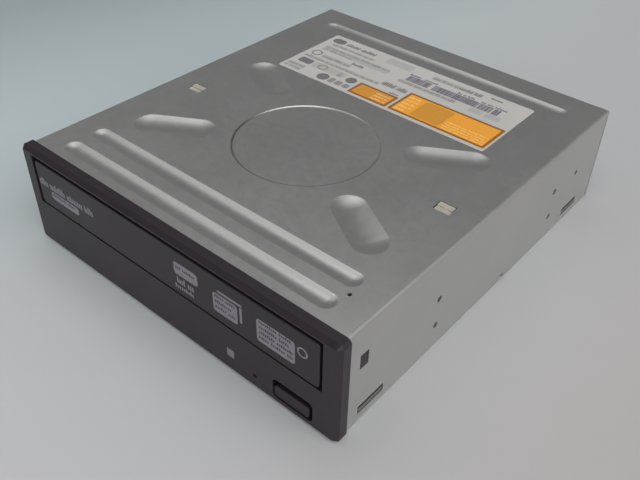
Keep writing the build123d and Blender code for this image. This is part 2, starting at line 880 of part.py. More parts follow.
def make_front_bezel():
    bezel = bezel_shell()
    foot_z = (pan_top + seat_gap, pan_top + seat_gap + bezel_foot_size[2])
    for x in bezel_foot_xs:
        foot_y = (bezel_wall / 2, bezel_wall + bezel_foot_size[1])
        bezel += block(around(x, bezel_foot_size[0] / 2), foot_y, foot_z)
    bezel += mirrored(bezel_clip())
    release = (bezel_wall / 2, bezel_depth)
    bezel += rod_along_y(release_hole_x, release_hole_z, release, release_boss_radius)
    through = (-bezel_wall, 2 * bezel_depth)
    bezel -= rod_along_y(release_hole_x, release_hole_z, through, release_hole_radius)
    panel = (-bezel_wall, bezel_wall)
    bezel -= block(both(door_opening_width / 2), through, door_opening_z)
    bezel -= rounded_block(button_window_x, panel, button_window_z, button_window_corner, Axis.Y)
    window_x = around(led_place[0], led_window_size[0] / 2)
    window_z = around(led_place[1], led_window_size[1] / 2)
    return bezel - block(window_x, panel, window_z)


def make_led_window():
    """Clear light guide that fills the panel's small window and reaches back to the lamp."""
    x = around(led_place[0], led_window_size[0] / 2 - led_gap)
    z = around(led_place[1], led_window_size[1] / 2 - led_gap)
    guide = block(x, (0, bezel_wall), z)
    return guide + block(grown(x, led_stop), (bezel_wall, bezel_wall + led_stop), grown(z, led_stop))


def make_tray_door():
    z = (door_opening_z[0] + door_bottom_gap, door_opening_z[1] - door_top_gap)
    x = both(door_opening_width / 2 - door_side_gap)
    y = (door_setback, door_setback + door_thickness)
    door = rounded_block(x, y, z, door_corner, Axis.Y)
    front = door.faces().sort_by(Axis.Y)[0]
    return fillet(front.edges(), door_setback * 2)


def make_eject_button():
    """Button face with a flange behind the panel that keeps it from falling out."""
    y = (button_setback, bezel_wall + button_flange_thickness + running_gap + button_travel)
    face = rounded_block(button_x, y, button_z, button_corner, Axis.Y)
    front = face.faces().sort_by(Axis.Y)[0]
    face = fillet(front.edges(), button_setback)
    back = (bezel_wall + running_gap, bezel_wall + running_gap + button_flange_thickness)
    x = grown(button_window_x, button_flange)
    z = (button_window_z[0] + running_gap, button_window_z[1] + button_flange)
    return face + block(x, back, z)


def make_switch_plunger():
    """Round stem of the push switch, a running gap behind the button."""
    button_back = bezel_wall + button_flange_thickness + running_gap + button_travel
    front = button_back + running_gap
    back = front_board_y[0] - switch_depth + plunger_hold
    return rod_along_y(*switch_place, (front, back), plunger_radius)


def make_eject_switch():
    """Square push switch soldered to the front board."""
    x = around(switch_place[0], switch_size[0] / 2)
    z = around(switch_place[1], switch_size[1] / 2)
    front = front_board_y[0] - switch_depth
    well = around(front, plunger_hold + plunger_travel + running_gap)
    body = block(x, (front, front_board_y[0]), z)
    return body - rod_along_y(*switch_place, well, plunger_radius + pin_gap)


# Tray


def rack_face():
    """Rack with teeth towards the middle of the drive, one tooth opposite the pinion."""
    pitch = pi * rack_module
    root_x = rack_x - tooth_root * rack_module
    tip_x = rack_x + tooth_tip * rack_module
    half_root, half_tip = tooth_half_widths(rack_module)
    count = int((rack_y[1] - gear_y) / pitch)
    first = -int((gear_y - rack_y[0]) / pitch)
    points = [(root_x - rack_thickness, rack_y[0]), (root_x, rack_y[0])]
    for tooth in range(first + 1, count):
        y = gear_y + tooth * pitch
        points += [(root_x, y - half_root), (tip_x, y - half_tip)]
        points += [(tip_x, y + half_tip), (root_x, y + half_root)]
    points += [(root_x, rack_y[1]), (root_x - rack_thickness, rack_y[1])]
    return make_face(Polyline(*points, close=True))


def tray_recesses():
    """Seats of the large and the small disc, and the window for the spindle and the laser."""
    centre = (0, spindle_y)
    above = tray_top + tray_skin
    window_z = (tray_bottom - tray_skin, above)
    window = post(centre, window_z, window_half_width)
    window += block(both(window_half_width), (spindle_y, tray_rear + tray_skin), window_z)
    recesses = post(centre, (disc_floor, above), disc_radius + disc_gap)
    recesses += post(centre, (disc_floor - small_disc_step, above), small_disc_radius + disc_gap)
    return recesses + window


def tray_leg_pockets():
    """Hollows under the right rear leg, with a rib between them."""
    x = (window_half_width + tray_pocket_margin, tray_half_width - tray_pocket_side_room)
    y = (spindle_y + disc_radius + tray_pocket_margin, tray_rear - tray_pocket_margin)
    z = (tray_bottom - tray_skin, tray_top - tray_skin)
    half = (length(y) - tray_leg_rib) / 2
    return [block(x, part_y, z) for part_y in ((y[0], y[0] + half), (y[1] - half, y[1]))]


def make_disc_tray():
    tray = block(both(tray_half_width), (tray_front, tray_rear), (tray_bottom, tray_top))
    web_y = (tray_front, tray_front + tray_web_thickness)
    tray += block(both(tray_web_half_width), web_y, tray_web_z)
    tray -= tray_recesses()
    for side in both(disc_radius * cos(pi / 4)):
        place = (side, spindle_y - disc_radius * sin(pi / 4))
        tray -= post(place, (disc_floor, tray_top + tray_skin), thumb_notch_radius)
    for pocket in tray_leg_pockets():
        tray -= mirrored(pocket)
    foot = tray_front + tray_web_thickness
    side = Polyline((foot, tray_top), (foot + tray_web_rise, tray_top), (foot, tray_web_z[1]), close=True)
    rib = extrude(Plane.YZ * make_face(side), amount=tray_web_rib / 2, both=True)
    for x in both(tray_web_half_width - tray_web_rib_inset) + both(tray_web_inner_rib_x):
        tray += Pos(x, 0, 0) * rib
    rack = extrude(Pos(0, 0, tray_bottom - rack_height) * rack_face(), amount=rack_height)
    return tray + rack


# Loading gears


def tooth_half_widths(module):
    """Half widths of a straight-sided tooth at its root and at its tip."""
    slope = tan(radians(pressure_angle))
    half_pitch = pi * module / 4 - tooth_gap
    return half_pitch + tooth_root * module * slope, half_pitch - tooth_tip * module * slope


def gear_face(teeth, module, phase):
    """Spur gear seen from above, one tooth at the phase angle in degrees."""
    radius = teeth * module / 2
    root = radius - tooth_root * module
    tip = radius + tooth_tip * module
    half_root, half_tip = tooth_half_widths(module)
    inner = root - module / 2
    outline = Polyline(
        (inner, -half_root), (root, -half_root), (tip, -half_tip),
        (tip, half_tip), (root, half_root), (inner, half_root), close=True,
    )
    tooth = make_face(outline)
    return Circle(root) + [Rot(0, 0, phase + 360 * k / teeth) * tooth for k in range(teeth)]


def gear(place, z, teeth, module, phase):
    return extrude(Pos(*place, z[0]) * gear_face(teeth, module, phase), amount=length(z))


def make_drive_gear():
    """Wheel driven by the belt gear, and the pinion above it that moves the tray's rack."""
    pinion_z = (drive_gear_z[1] - pinion_height, drive_gear_z[1])
    body = post(drive_gear_place, drive_gear_z, drive_hub_radius)
    body += gear(drive_gear_place, wheel_z, wheel_teeth, wheel_module, 0)
    body += gear(drive_gear_place, pinion_z, pinion_teeth, rack_module, 180 / pinion_teeth)
    return body - post(drive_gear_place, grown(drive_gear_z, sheet), gear_post_radius + pin_gap)


def pulley(place, z, flange_radius, groove_radius):
    """Grooved wheel for the square belt."""
    groove_z = around(middle(z), groove_height / 2)
    return post(place, z, flange_radius) - tube(place, groove_z, flange_radius + sheet, groove_radius)


def make_pulley_gear():
    """Large pulley with the small gear under it."""
    body = pulley(pulley_place, pulley_z, pulley_flange_radius, pulley_groove_radius)
    body += gear(pulley_place, belt_pinion_z, belt_pinion_teeth, wheel_module, 180 / belt_pinion_teeth)
    span = (belt_pinion_z[0] - sheet, pulley_z[1] + sheet)
    return body - post(pulley_place, span, gear_post_radius + pin_gap)


def make_motor_pulley():
    body = pulley(motor_place, pulley_z, motor_pulley_flange_radius, motor_pulley_groove_radius)
    return body - post(motor_place, grown(pulley_z, sheet), motor_shaft_radius)


def make_motor_shaft():
    return post(motor_place, (motor_top - motor_shaft_depth, pulley_z[1]), motor_shaft_radius)


def belt_loop(extra):
    """Outline of the belt round both pulleys, seen from above."""
    large = Pos(*pulley_place) * Circle(pulley_groove_radius + running_gap + extra)
    small = Pos(*motor_place) * Circle(motor_pulley_groove_radius + running_gap + extra)
    return make_hull(large.edges() + small.edges())


def make_drive_belt():
    loop = belt_loop(belt_thickness) - belt_loop(0)
    return extrude(Pos(0, 0, middle(pulley_z) - belt_thickness / 2) * loop, amount=belt_thickness)


def make_loading_motor():
    """Flat can standing on the deck, with a collar round its shaft."""
    can = post(motor_place, (deck_z[1], motor_top), motor_radius)
    can = fillet(can.edges(), motor_boss_height)
    can += post(motor_place, (motor_top - sheet, motor_top + motor_boss_height), motor_boss_radius)
    bore = (motor_top - motor_shaft_depth - running_gap, motor_top + sheet)
    return can - post(motor_place, bore, motor_shaft_radius + pin_gap)


def motor_screw_places():
    x, y = motor_place
    return ((x - motor_screw_offset, y), (x + motor_screw_offset, y))


def make_motor_screws():
    head_z = (deck_z[0] - sheet, deck_z[0])
    return [
        pan_head_screw(place, head_z, deck_z[1], motor_screw_head_radius, motor_shaft_radius)
        for place in motor_screw_places()
    ]


# Loader frame


def frame_walls():
    """Right side wall with its tray guides and side deck."""
    y = (frame_front, frame_rear)
    wall = block((frame_inner, frame_half_width), y, (frame_bottom, frame_top))
    guide_z = (tray_bottom - running_gap - guide_ledge_thickness, tray_top + running_gap)
    wall += block((tray_half_width + running_gap, frame_inner), y, guide_z)
    ledge_z = (guide_z[0], guide_z[0] + guide_ledge_thickness)
    wall += block((guide_ledge_inner, frame_inner), y, ledge_z)
    hook_z = (guide_z[1], guide_z[1] + guide_hook_thickness)
    for hook in guide_hook_ys:
        wall += block((guide_hook_inner, frame_inner), hook, hook_z)
    wall += block((side_deck_inner, frame_inner), side_deck_y, side_deck_z)
    clip_x = (half_body - sheet - bezel_clip_gap - bezel_clip_thickness - running_gap, half_body)
    clip_y = (0, bezel_hole_y[1] + bezel_clip_tip + running_gap)
    return wall - block(clip_x, clip_y, grown(bezel_hole_z, running_gap))


def pivot_block():
    """Right bearing of the traverse, open above so that the pin snaps in."""
    body = block((pivot_block_inner, frame_inner), pivot_block_y, pivot_block_z)
    pin_x = (pivot_block_inner - sheet, lift_frame_half_width + pivot_length + running_gap)
    body -= rod_along_x(pivot_y, pivot_z, pin_x, pivot_radius + pin_gap)
    mouth_y = around(pivot_y, pivot_mouth / 2)
    return body - block(pin_x, mouth_y, (pivot_z, pivot_block_z[1] + sheet))


def frame_posts():
    """Posts for the gears, the cover screws and the main board."""
    posts = [
        post(drive_gear_place, (deck_z[0], drive_gear_z[1] - running_gap), gear_post_radius),
        post(drive_gear_place, (deck_z[0], drive_gear_z[0] - running_gap), gear_collar_radius),
        post(pulley_place, (deck_z[0], pulley_z[1] + sheet), gear_post_radius),
        post(pulley_place, (deck_z[0], belt_pinion_z[0] - running_gap), gear_collar_radius),
    ]
    for x, y in cover_screw_places:
        top = deck_z[0] if y < spindle_y else pivot_block_z[0]
        posts.append(post((x, y), (pan_top, top), screw_post_radius))
    for place in board_screw_places:
        posts.append(post(place, (board_top, side_deck_z[0]), screw_post_radius))
    return posts


def slider_hook(x):
    """Hook of the deck that keeps the cam slider's flange down."""
    flange_top = deck_z[1] + running_gap + slider_flange_thickness
    hook_x = around(x, slider_hook_width / 2)
    wall_y = (slider_flange_y - running_gap - slider_hook_wall, slider_flange_y - running_gap)
    lip_y = (wall_y[0], slider_flange_y + slider_hook_wall)
    top = flange_top + running_gap + slider_flange_thickness
    hook = block(hook_x, wall_y, (deck_z[1], top))
    return hook + block(hook_x, lip_y, (flange_top + running_gap, top))


def frame_holes():
    """Screw holes, and clearance for the screws of a stranger's bay."""
    holes = []
    for place in cover_screw_places:
        holes.append(post(place, (0, body_lift + cover_screw_length + seat_gap), cover_screw_radius))
    for place in motor_screw_places():
        holes.append(post(place, deck_z, motor_shaft_radius))
    for place in board_screw_places:
        holes.append(post(place, (board_z, side_deck_z[0]), mount_hole_radius))
    for y in mount_ys:
        for x in both(mount_pitch_x / 2):
            holes.append(post((x, y), (0, pan_top + mount_relief_depth), mount_relief_radius))
        for z in mount_zs:
            holes.append(rod_along_x(y, z, both(half_body), mount_relief_radius))
    return holes


def make_loader_frame():
    """Moulded frame that carries the tray, the gears, the traverse and the boards."""
    frame = Part() + mirrored(frame_walls() + pivot_block())
    frame += block(both(frame_inner), deck_y, deck_z)
    for y in deck_rib_ys:
        frame += block(both(frame_inner), around(y, deck_rib_thickness / 2), (frame_bottom, deck_z[0]))
    frame += block(both(frame_inner), front_bar_y, front_bar_z)
    frame += block(both(frame_inner), rear_bar_y, rear_bar_z)
    for piece in frame_posts():
        frame += piece
    for x in slider_hook_xs:
        frame += slider_hook(x)
    for hole in frame_holes():
        frame -= hole
    tunnel_y = (deck_y[0] - sheet, deck_y[1])
    return frame - block(grown(ribbon_x, running_gap), tunnel_y, (0, ribbon_z[1] + running_gap))


# Clamp


def make_clamp_bridge():
    """Pressed strip across the frame whose two hooks show in the roof."""
    strip = block(both(bridge_half_width), bridge_y, bridge_z)
    strip = fillet(strip.edges().filter_by(Axis.Z), bridge_corner)
    strip += post((0, spindle_y), bridge_z, bridge_ring_radius)
    strip -= post((0, spindle_y), grown(bridge_z, sheet), bridge_hole_radius)
    for side in both(bridge_slot_x):
        face = slot_face(bridge_slot_size, (side, spindle_y))
        strip -= extrude(Pos(0, 0, bridge_z[0] - sheet) * face, amount=3 * sheet)
    hook_x = around(hook_slot_x, hook_slot_size[0] / 2 - bridge_hook_gap)
    hook_y = around(hook_slot_y, hook_slot_size[1] / 2 - bridge_hook_gap)
    hook = block(hook_x, hook_y, (bridge_z[0], body_top))
    hook -= block(hook_x, (hook_y[0], hook_slot_y), (body_top - hook_step, body_top))
    return strip + mirrored(hook)


def make_clamper():
    """Plastic disc that hangs in the bridge's hole and presses the disc on the turntable."""
    centre = (0, spindle_y)
    flange_z = (bridge_z[1] + running_gap, bridge_z[1] + running_gap + clamper_flange)
    body = post(centre, (clamper_bottom, bridge_z[0] - running_gap), clamper_radius)
    body += post(centre, (clamper_bottom, flange_z[1]), clamper_neck_radius)
    body += post(centre, flange_z, clamper_flange_radius)
    cone_clear = hub_top + running_gap
    body -= post(centre, (clamper_bottom - sheet, cone_clear), hub_radius + running_gap)
    seat = (flange_z[1] - clamper_plate_height, flange_z[1] + sheet)
    return body - post(centre, seat, clamper_plate_radius)


def make_clamper_plate():
    """Steel plate in the clamper that the hub's magnet draws down."""
    top = bridge_z[1] + running_gap + clamper_flange
    return post((0, spindle_y), (top - clamper_plate_height, top), clamper_plate_radius)


# Traverse


def make_lift_frame():
    """Plastic frame that tips about its rear pins and lowers the spindle."""
    frame = block(both(lift_frame_half_width), lift_frame_y, traverse_z)
    window_x = both(lift_frame_half_width - lift_frame_side)
    frame -= block(window_x, grown(lift_frame_y, -lift_frame_bar), grown(traverse_z, sheet))
    frame = fillet(frame.edges().filter_by(Axis.Z), lift_frame_bar / 4)
    pin_x = (lift_frame_half_width - lift_frame_side / 2, lift_frame_half_width + pivot_length)
    frame += mirrored(rod_along_x(pivot_y, pivot_z, pin_x, pivot_radius))
    for x in cam_pin_xs:
        reach = (slider_y[0] - cam_pin_tip, lift_frame_y[0] + sheet)
        frame += rod_along_y(x, pivot_z, reach, cam_pin_radius)
    for place in damper_places():
        frame -= post(place, (pivot_z, traverse_z[1] + sheet), damper_bore)
    return frame


def damper_places():
    return [(x, y) for x in both(damper_x) for y in damper_ys]


def make_dampers():
    """Rubber grommets between the lift frame and the steel base."""
    z = (traverse_z[1], traverse_z[1] + damper_height)
    rings = []
    for place in damper_places():
        ring = post(place, z, damper_radius) - tube(place, base_z, 2 * damper_radius, damper_groove_radius)
        rings.append(ring - post(place, grown(z, sheet), damper_bore))
    return rings


def make_damper_screws():
    top = traverse_z[1] + damper_height
    screws = []
    for place in damper_places():
        screw = post(place, (top, top + sheet), damper_groove_radius)
        screws.append(screw + post(place, (pivot_z, top + sheet), damper_bore))
    return screws


def rod_holder(x, y, bore):
    """Upright ear of the base with the hole that a rod or the feed screw lies in."""
    ear = block(around(x, rod_holder_width / 2), y, (base_z[0], rod_z + bore + rod_holder_wall))
    return ear - rod_along_y(x, rod_z, grown(y, sheet), bore)


def make_pickup_base():
    """Steel base of the laser unit on its four grommets."""
    base = block(both(base_half_width), base_y, base_z)
    for place in damper_places():
        base += post(place, base_z, base_ear_radius)
        ear_x = (min(0, place[0]), max(0, place[0]))
        base += block(ear_x, around(place[1], base_ear_radius), base_z)
    base -= block(base_window_x, base_window_y, grown(base_z, sheet))
    for place in damper_places():
        base -= post(place, grown(base_z, sheet), damper_groove_radius)
    front = (rod_y[0], rod_y[0] + rod_holder_thickness)
    rear = (rod_y[1] - rod_holder_thickness, rod_y[1])
    for x in rod_xs:
        base += rod_holder(x, front, rod_radius)
        base += rod_holder(x, rear, rod_radius)
    return base + rod_holder(screw_x, front, screw_journal_radius + pin_gap)


def make_main_guide_rod():
    return rod_along_y(rod_xs[0], rod_z, rod_y, rod_radius)


def make_side_guide_rod():
    return rod_along_y(rod_xs[1], rod_z, rod_y, rod_radius)


def make_sled_motor():
    """Round stepping motor that turns the feed screw."""
    can = rod_along_y(screw_x, rod_z, sled_motor_y, sled_motor_radius)
    can = chamfer(can.edges(), sheet / 2)
    can += block((-base_half_width, screw_x), sled_motor_foot_y, (base_z[1], rod_z))
    bore_y = (sled_motor_y[0] - sheet, sled_motor_y[0] + screw_tail + sheet)
    return can - rod_along_y(screw_x, rod_z, bore_y, screw_journal_radius + pin_gap)


def make_spindle_motor():
    """Motor board with the stator and the bearing tube of the spindle."""
    centre = (0, spindle_y)
    board_top_z = base_z[1] + motor_board_thickness
    motor = rounded_block(
        both(motor_board_half_width), motor_board_y, (base_z[1], board_top_z), rod_holder_width / 2
    )
    motor += post(centre, (board_top_z, rotor_z[1] - rotor_wall - running_gap * 2), bearing_radius)
    stator = post(centre, (board_top_z + sheet, board_top_z + sheet + stator_height), stator_radius)
    gap = block(around(stator_radius, stator_gap_depth), both(sheet), (0, body_top))
    for k in range(stator_poles):
        stator -= Pos(0, spindle_y, 0) * Rot(0, 0, 360 * k / stator_poles) * gap
    motor += stator
    bore = (board_top_z, rotor_z[1])
    return motor - post(centre, bore, spindle_radius + pin_gap)


# Spindle and turntable


def make_spindle_rotor():
    """Steel cup over the stator, with the spindle shaft in its middle."""
    centre = (0, spindle_y)
    cup = post(centre, rotor_z, rotor_radius)
    cup = fillet(cup.edges().sort_by(Axis.Z)[-1], rotor_wall)
    cup -= post(centre, (rotor_z[0] - sheet, rotor_z[1] - rotor_wall), rotor_radius - rotor_wall)
    bottom = base_z[1] + motor_board_thickness + running_gap
    return cup + post(centre, (bottom, rotor_z[1]), spindle_radius)


def make_turntable():
    """Platform under the disc with the cone that centres it."""
    profile = Polyline(
        (0, rotor_z[1]), (turntable_radius, rotor_z[1]),
        (turntable_radius, turntable_top), (hub_radius, turntable_top),
        (hub_radius, turntable_top + hub_cone_start), (hub_tip_radius, hub_top),
        (hub_magnet_radius, hub_top), (hub_magnet_radius, turntable_top), (0, turntable_top),
        close=True,
    )
    body = revolve(Plane.XZ * make_face(profile), Axis.Z)
    return Pos(0, spindle_y, 0) * body


def make_hub_magnet():
    """Ring magnet in the hub that holds the clamper."""
    z = (turntable_top, hub_top - hub_magnet_drop)
    return tube((0, spindle_y), z, hub_magnet_radius, spindle_radius)


def make_friction_ring():
    """Rubber ring that the disc stands on."""
    z = (turntable_top, turntable_top + friction_ring_height)
    return tube((0, spindle_y), z, turntable_radius, friction_ring_inner)


# Laser unit


def make_pickup_housing():
    """Cast housing that slides on two rods, with an open pocket for the lens drive."""
    housing = block(both(sled_half_width), sled_y, sled_z)
    housing = chamfer(housing.edges().filter_by(Axis.Z), sled_corner)
    for x in rod_xs:
        housing += rod_along_y(x, rod_z, grown(sled_y, -sled_wall), rod_sleeve_radius)
        arm_x = sorted((x, x - copysign(sleeve_arm_length, x)))
        housing += block(arm_x, grown(sled_y, -sled_wall), around(rod_z, rod_sleeve_radius))
    for x in rod_xs:
        housing -= rod_along_y(x, rod_z, grown(sled_y, sheet), rod_radius + pin_gap)
    housing -= block(both(pocket_half_width), pocket_y, (pocket_floor, sled_z[1] + sheet))
    housing -= post((0, spindle_y), grown(sled_z, sheet), turntable_radius + 2 * running_gap)
    laser = (sled_y[1] - laser_can_length, sled_y[1] + sheet)
    return housing - rod_along_y(0, middle(sled_z), laser, laser_can_radius)


def make_laser_diode():
    """Gold can of the laser pressed in the rear of the housing."""
    can = (sled_y[1] - laser_can_length, sled_y[1] + sheet)
    return rod_along_y(0, middle(sled_z), can, laser_can_radius)


def make_actuator_yoke():
    """Folded steel yoke of the lens drive with its two magnets' backs."""
    x = both(pocket_half_width - running_gap)
    yoke = block(x, grown(pocket_y, -running_gap), (pocket_floor, pocket_floor + yoke_thickness))
    back = yoke_magnet[1] + yoke_thickness
    for side in (-1, 1):
        face_y = lens_y + side * (lens_carrier_size[1] / 2 + magnet_gap)
        y = sorted((face_y + side * yoke_magnet[1], face_y + side * back))
        wall_z = (pocket_floor, pocket_floor + yoke_thickness + yoke_magnet[2])
        yoke += block(both(yoke_magnet[0] / 2), y, wall_z)
    return yoke


def make_actuator_magnets():
    """Two magnets beside the lens carrier's coils."""
    z = (pocket_floor + yoke_thickness, pocket_floor + yoke_thickness + yoke_magnet[2])
    magnets = []
    for side in (-1, 1):
        face_y = lens_y + side * (lens_carrier_size[1] / 2 + magnet_gap)
        y = sorted((face_y, face_y + side * yoke_magnet[1]))
        magnets.append(block(both(yoke_magnet[0] / 2), y, z))
    return magnets


def lens_carrier_limits():
    x = both(lens_carrier_size[0] / 2)
    y = around(lens_y, lens_carrier_size[1] / 2)
    return x, y, (lens_carrier_z, lens_carrier_z + lens_carrier_size[2])


def make_lens_carrier():
    """Moulded holder with the coils, which moves up and down to focus."""
    x, y, z = lens_carrier_limits()
    carrier = rounded_block(x, y, z, sheet)
    return carrier - post((0, lens_y), grown(z, sheet), lens_radius)


def make_objective_lens():
    """Small convex lens in the carrier."""
    rim = lens_carrier_z + lens_carrier_size[2]
    flat = post((0, lens_y), (rim - lens_seat, rim), lens_radius)
    dome_radius = (lens_radius**2 + lens_dome**2) / (2 * lens_dome)
    dome = Pos(0, lens_y, lens_top - dome_radius) * Sphere(dome_radius)
    return flat + (dome & post((0, lens_y), (rim, lens_top + sheet), lens_radius))


def make_feed_nut():
    """Toothed arm of the housing that follows the feed screw."""
    y = around(middle(sled_y), nut_half_width)
    side = rod_xs[0] - rod_sleeve_radius
    arm_x = (screw_x + screw_radius + running_gap, side + running_gap)
    arm = block(arm_x, y, around(rod_z, screw_radius))
    lip_x = (screw_x - screw_radius, side + running_gap)
    lip_z = (rod_z + screw_radius + running_gap, rod_z + screw_radius + running_gap + sheet)
    nut = arm + block(lip_x, y, lip_z) + block(arm_x, y, (rod_z, lip_z[1]))
    return nut - rod_along_y(rod_xs[0], rod_z, sled_y, rod_sleeve_radius)


def make_feed_screw():
    """Feed screw with turned-down ends; its fine thread is left to the finish."""
    body = rod_along_y(screw_x, rod_z, screw_y, screw_radius)
    ends = (rod_y[0], sled_motor_y[0] + screw_tail)
    return body + rod_along_y(screw_x, rod_z, ends, screw_journal_radius)


# Cam slider


def cam_slot(x):
    """Slanted slot with a short level end, seen from the front, for one pin of the lift frame."""
    width = 2 * (cam_pin_radius + slider_slot_gap)
    ramp = hypot(slider_travel, lift_drop)
    angle = degrees(atan2(lift_drop, slider_travel))
    slanted = Rot(0, 0, angle) * SlotCenterToCenter(ramp, width)
    slanted = Pos(x - slider_travel / 2, pivot_z - lift_drop / 2) * slanted
    level = Pos(x + slider_slot_flat / 2, pivot_z) * SlotCenterToCenter(slider_slot_flat, width)
    foot = Pos(x - slider_travel - slider_slot_flat / 2, pivot_z - lift_drop)
    foot = foot * SlotCenterToCenter(slider_slot_flat, width)
    thickness = 2 * length(slider_y)
    return Pos(0, middle(slider_y), 0) * extrude(
        Plane.XZ * (slanted + level + foot), amount=thickness, both=True
    )


def make_cam_slider():
    """Bar that slides across the drive and lifts or lowers the traverse by its slots."""
    bar = block(slider_x, slider_y, slider_z)
    flange_z = (deck_z[1] + running_gap, deck_z[1] + running_gap + slider_flange_thickness)
    bar += block(slider_x, (slider_flange_y, slider_y[1]), flange_z)
    for k in range(int(slider_rack_length / slider_rack_pitch)):
        tooth = slider_x[0] + (k + 1) * slider_rack_pitch
        tooth_x = (tooth - slider_rack_pitch / 2, tooth)
        bar += block(tooth_x, (slider_y[0] - slider_rack_tooth, slider_y[1]), slider_rack_z)
    for x in cam_pin_xs:
        bar -= cam_slot(x)
    return bar


# Boards and connectors


def make_main_board():
    board = block(both(main_board_half_width), main_board_y, (board_z, board_top))
    for x, y in cover_screw_places:
        if y > main_board_y[0]:
            board -= post((x, y), grown((board_z, board_top), sheet), board_notch_radius)
    for place in board_screw_places:
        board -= post(place, grown((board_z, board_top), sheet), mount_hole_radius)
    for y in mount_ys:
        for x in both(mount_pitch_x / 2):
            board -= post((x, y), grown((board_z, board_top), sheet), mount_relief_radius + sheet)
    return board


def make_board_screws():
    head_z = (board_z - sheet, board_z)
    return [
        pan_head_screw(place, head_z, side_deck_z[0], board_screw_head_radius, mount_hole_radius)
        for place in board_screw_places
    ]


def chip(size, sides):
    """Flat package with a row of leads along the named number of sides."""
    x, room, width, depth, height = size
    y = main_board_y[0] + room
    z = (board_top, board_top + height)
    body_x = around(x, width / 2 - chip_lead)
    body_y = around(y, depth / 2 - (chip_lead if sides == 4 else 0))
    body = chamfer(block(body_x, body_y, z).edges().group_by(Axis.Z)[-1], height / 5)
    lead_z = (board_top, board_top + height / 3)
    pitch = 2 * chip_lead
    for k in range(int(depth / pitch) - 1):
        lead_y = y - depth / 2 + pitch * (k + 1)
        body += block(around(x, width / 2), around(lead_y, pitch / 4), lead_z)
    if sides == 4:
        for k in range(int(width / pitch) - 1):
            lead_x = x - width / 2 + pitch * (k + 1)
            body += block(around(lead_x, pitch / 4), around(y, depth / 2), lead_z)
    return body


def make_controller_chip():
    return chip(controller_chip_size, 4)


def make_driver_chip():
    return chip(driver_chip_size, 2)


def make_memory_chip():
    return chip(memory_chip_size, 2)


def make_capacitors():
    cans = []
    for place in capacitor_places:
        can = post(place, (board_top, board_top + capacitor_height), capacitor_radius)
        cans.append(fillet(can.edges().sort_by(Axis.Z)[-1], capacitor_edge))
    return cans


def make_front_board():
    return block(front_board_x, front_board_y, front_board_z)


def make_status_lamp():
    """Round lamp on the front board, behind the light guide."""
    x, z = led_place
    dome_y = front_board_y[0] - lamp_depth + lamp_radius
    lamp = rod_along_y(x, z, (dome_y, front_board_y[0]), lamp_radius)
    lamp += Pos(x, dome_y, z) * Sphere(lamp_radius)
    return lamp + rod_along_y(x, z, (front_board_y[0] - lamp_flange, front_board_y[0]), lamp_flange_radius)


def make_ribbon_connector():
    """Socket on the main board that the front ribbon is pushed into."""
    width, depth, height = ribbon_connector_size
    front = main_board_y[0] + ribbon_connector_inset
    return block(around(middle(ribbon_x), width / 2), (front, front + depth), (board_top, board_top + height))


def make_front_ribbon():
    """Flat cable under the frame from the main board to the front board."""
    rear_y = main_board_y[0] - ribbon_rear_gap
    front_y = deck_y[0] + deck_rib_thickness
    plug_z = (board_top + ribbon_plug_height, board_top + ribbon_plug_height + ribbon_thickness)
    run = block(ribbon_x, (front_y, rear_y), ribbon_z)
    rise = block(ribbon_x, (rear_y - ribbon_thickness, rear_y), (ribbon_z[0], plug_z[1]))
    plug_y = (rear_y - ribbon_thickness, main_board_y[0] + ribbon_connector_inset)
    plug = block(ribbon_x, plug_y, plug_z)
    across_x = (ribbon_x[0], front_board_x[0] + ribbon_width)
    across = block(across_x, (front_board_y[1], front_y), ribbon_z)
    tab_x = (front_board_x[0] + ribbon_tab_inset, across_x[1])
    up_y = (front_board_y[1], front_board_y[1] + ribbon_thickness)
    up = block(tab_x, up_y, (ribbon_z[0], middle(front_board_z)))
    return run + rise + plug + across + up


def pin_row(xs, z, y):
    """Square pins pointing to the rear at the given places along x."""
    half = pin_side / 2
    return [block(around(x, half), y, around(z, half)) for x in xs]


def pin_places(x, count, pitch=pin_pitch):
    first = middle(x) - pitch * (count - 1) / 2
    return [first + pitch * k for k in range(count)]


def pin_span():
    """Range along y of every pin that points to the rear."""
    return (body_rear - connector_depth, body_rear - pin_tip_setback)


def socket_box(x, height, wall):
    """Open box on the board whose mouth faces the rear."""
    y = (body_rear - connector_depth, body_rear)
    z = (board_top, board_top + height)
    box = block(x, y, z)
    return box - block(grown(x, -wall), (y[0] + connector_floor, y[1] + wall), grown(z, -wall))


def make_ide_header():
    """Forty-way box header with its key slot in the upper wall."""
    header = socket_box(ide_x, ide_height, ide_wall)
    key_x = around(middle(ide_x), ide_key_width / 2)
    key_y = (body_rear - connector_depth + connector_floor, body_rear)
    header -= block(key_x, key_y, (board_top + ide_height / 2, board_top + ide_height))
    for pin in ide_pin_list():
        header -= pin
    return header


def ide_pin_list():
    """Two rows of twenty pins, without the one that the key takes."""
    middle_z = board_top + ide_height / 2
    pins = []
    for side in both(pin_pitch / 2):
        pins += pin_row(pin_places(ide_x, ide_columns), middle_z + side, pin_span())
    missing = ide_columns // 2
    return pins[:missing] + pins[missing + 1:]


def power_pin_list():
    z = board_top + power_height / 2
    xs = pin_places(power_x, power_pins_count, power_pitch)
    return [rod_along_y(x, z, pin_span(), power_pin_radius) for x in xs]


def make_power_socket():
    """Four-way power socket with two cut corners above."""
    front = body_rear - connector_depth
    z = (board_top, board_top + power_height)
    socket = block(power_x, (front, body_rear), z)
    mouth_y = (front + connector_floor, body_rear + sheet)
    mouth = block(grown(power_x, -power_wall), mouth_y, grown(z, -power_wall))
    top_edges = mouth.edges().filter_by(Axis.Y).group_by(Axis.Z)[-1]
    socket -= chamfer(top_edges, power_corner)
    for pin in power_pin_list():
        socket -= pin
    return socket


def make_power_pins():
    return power_pin_list()


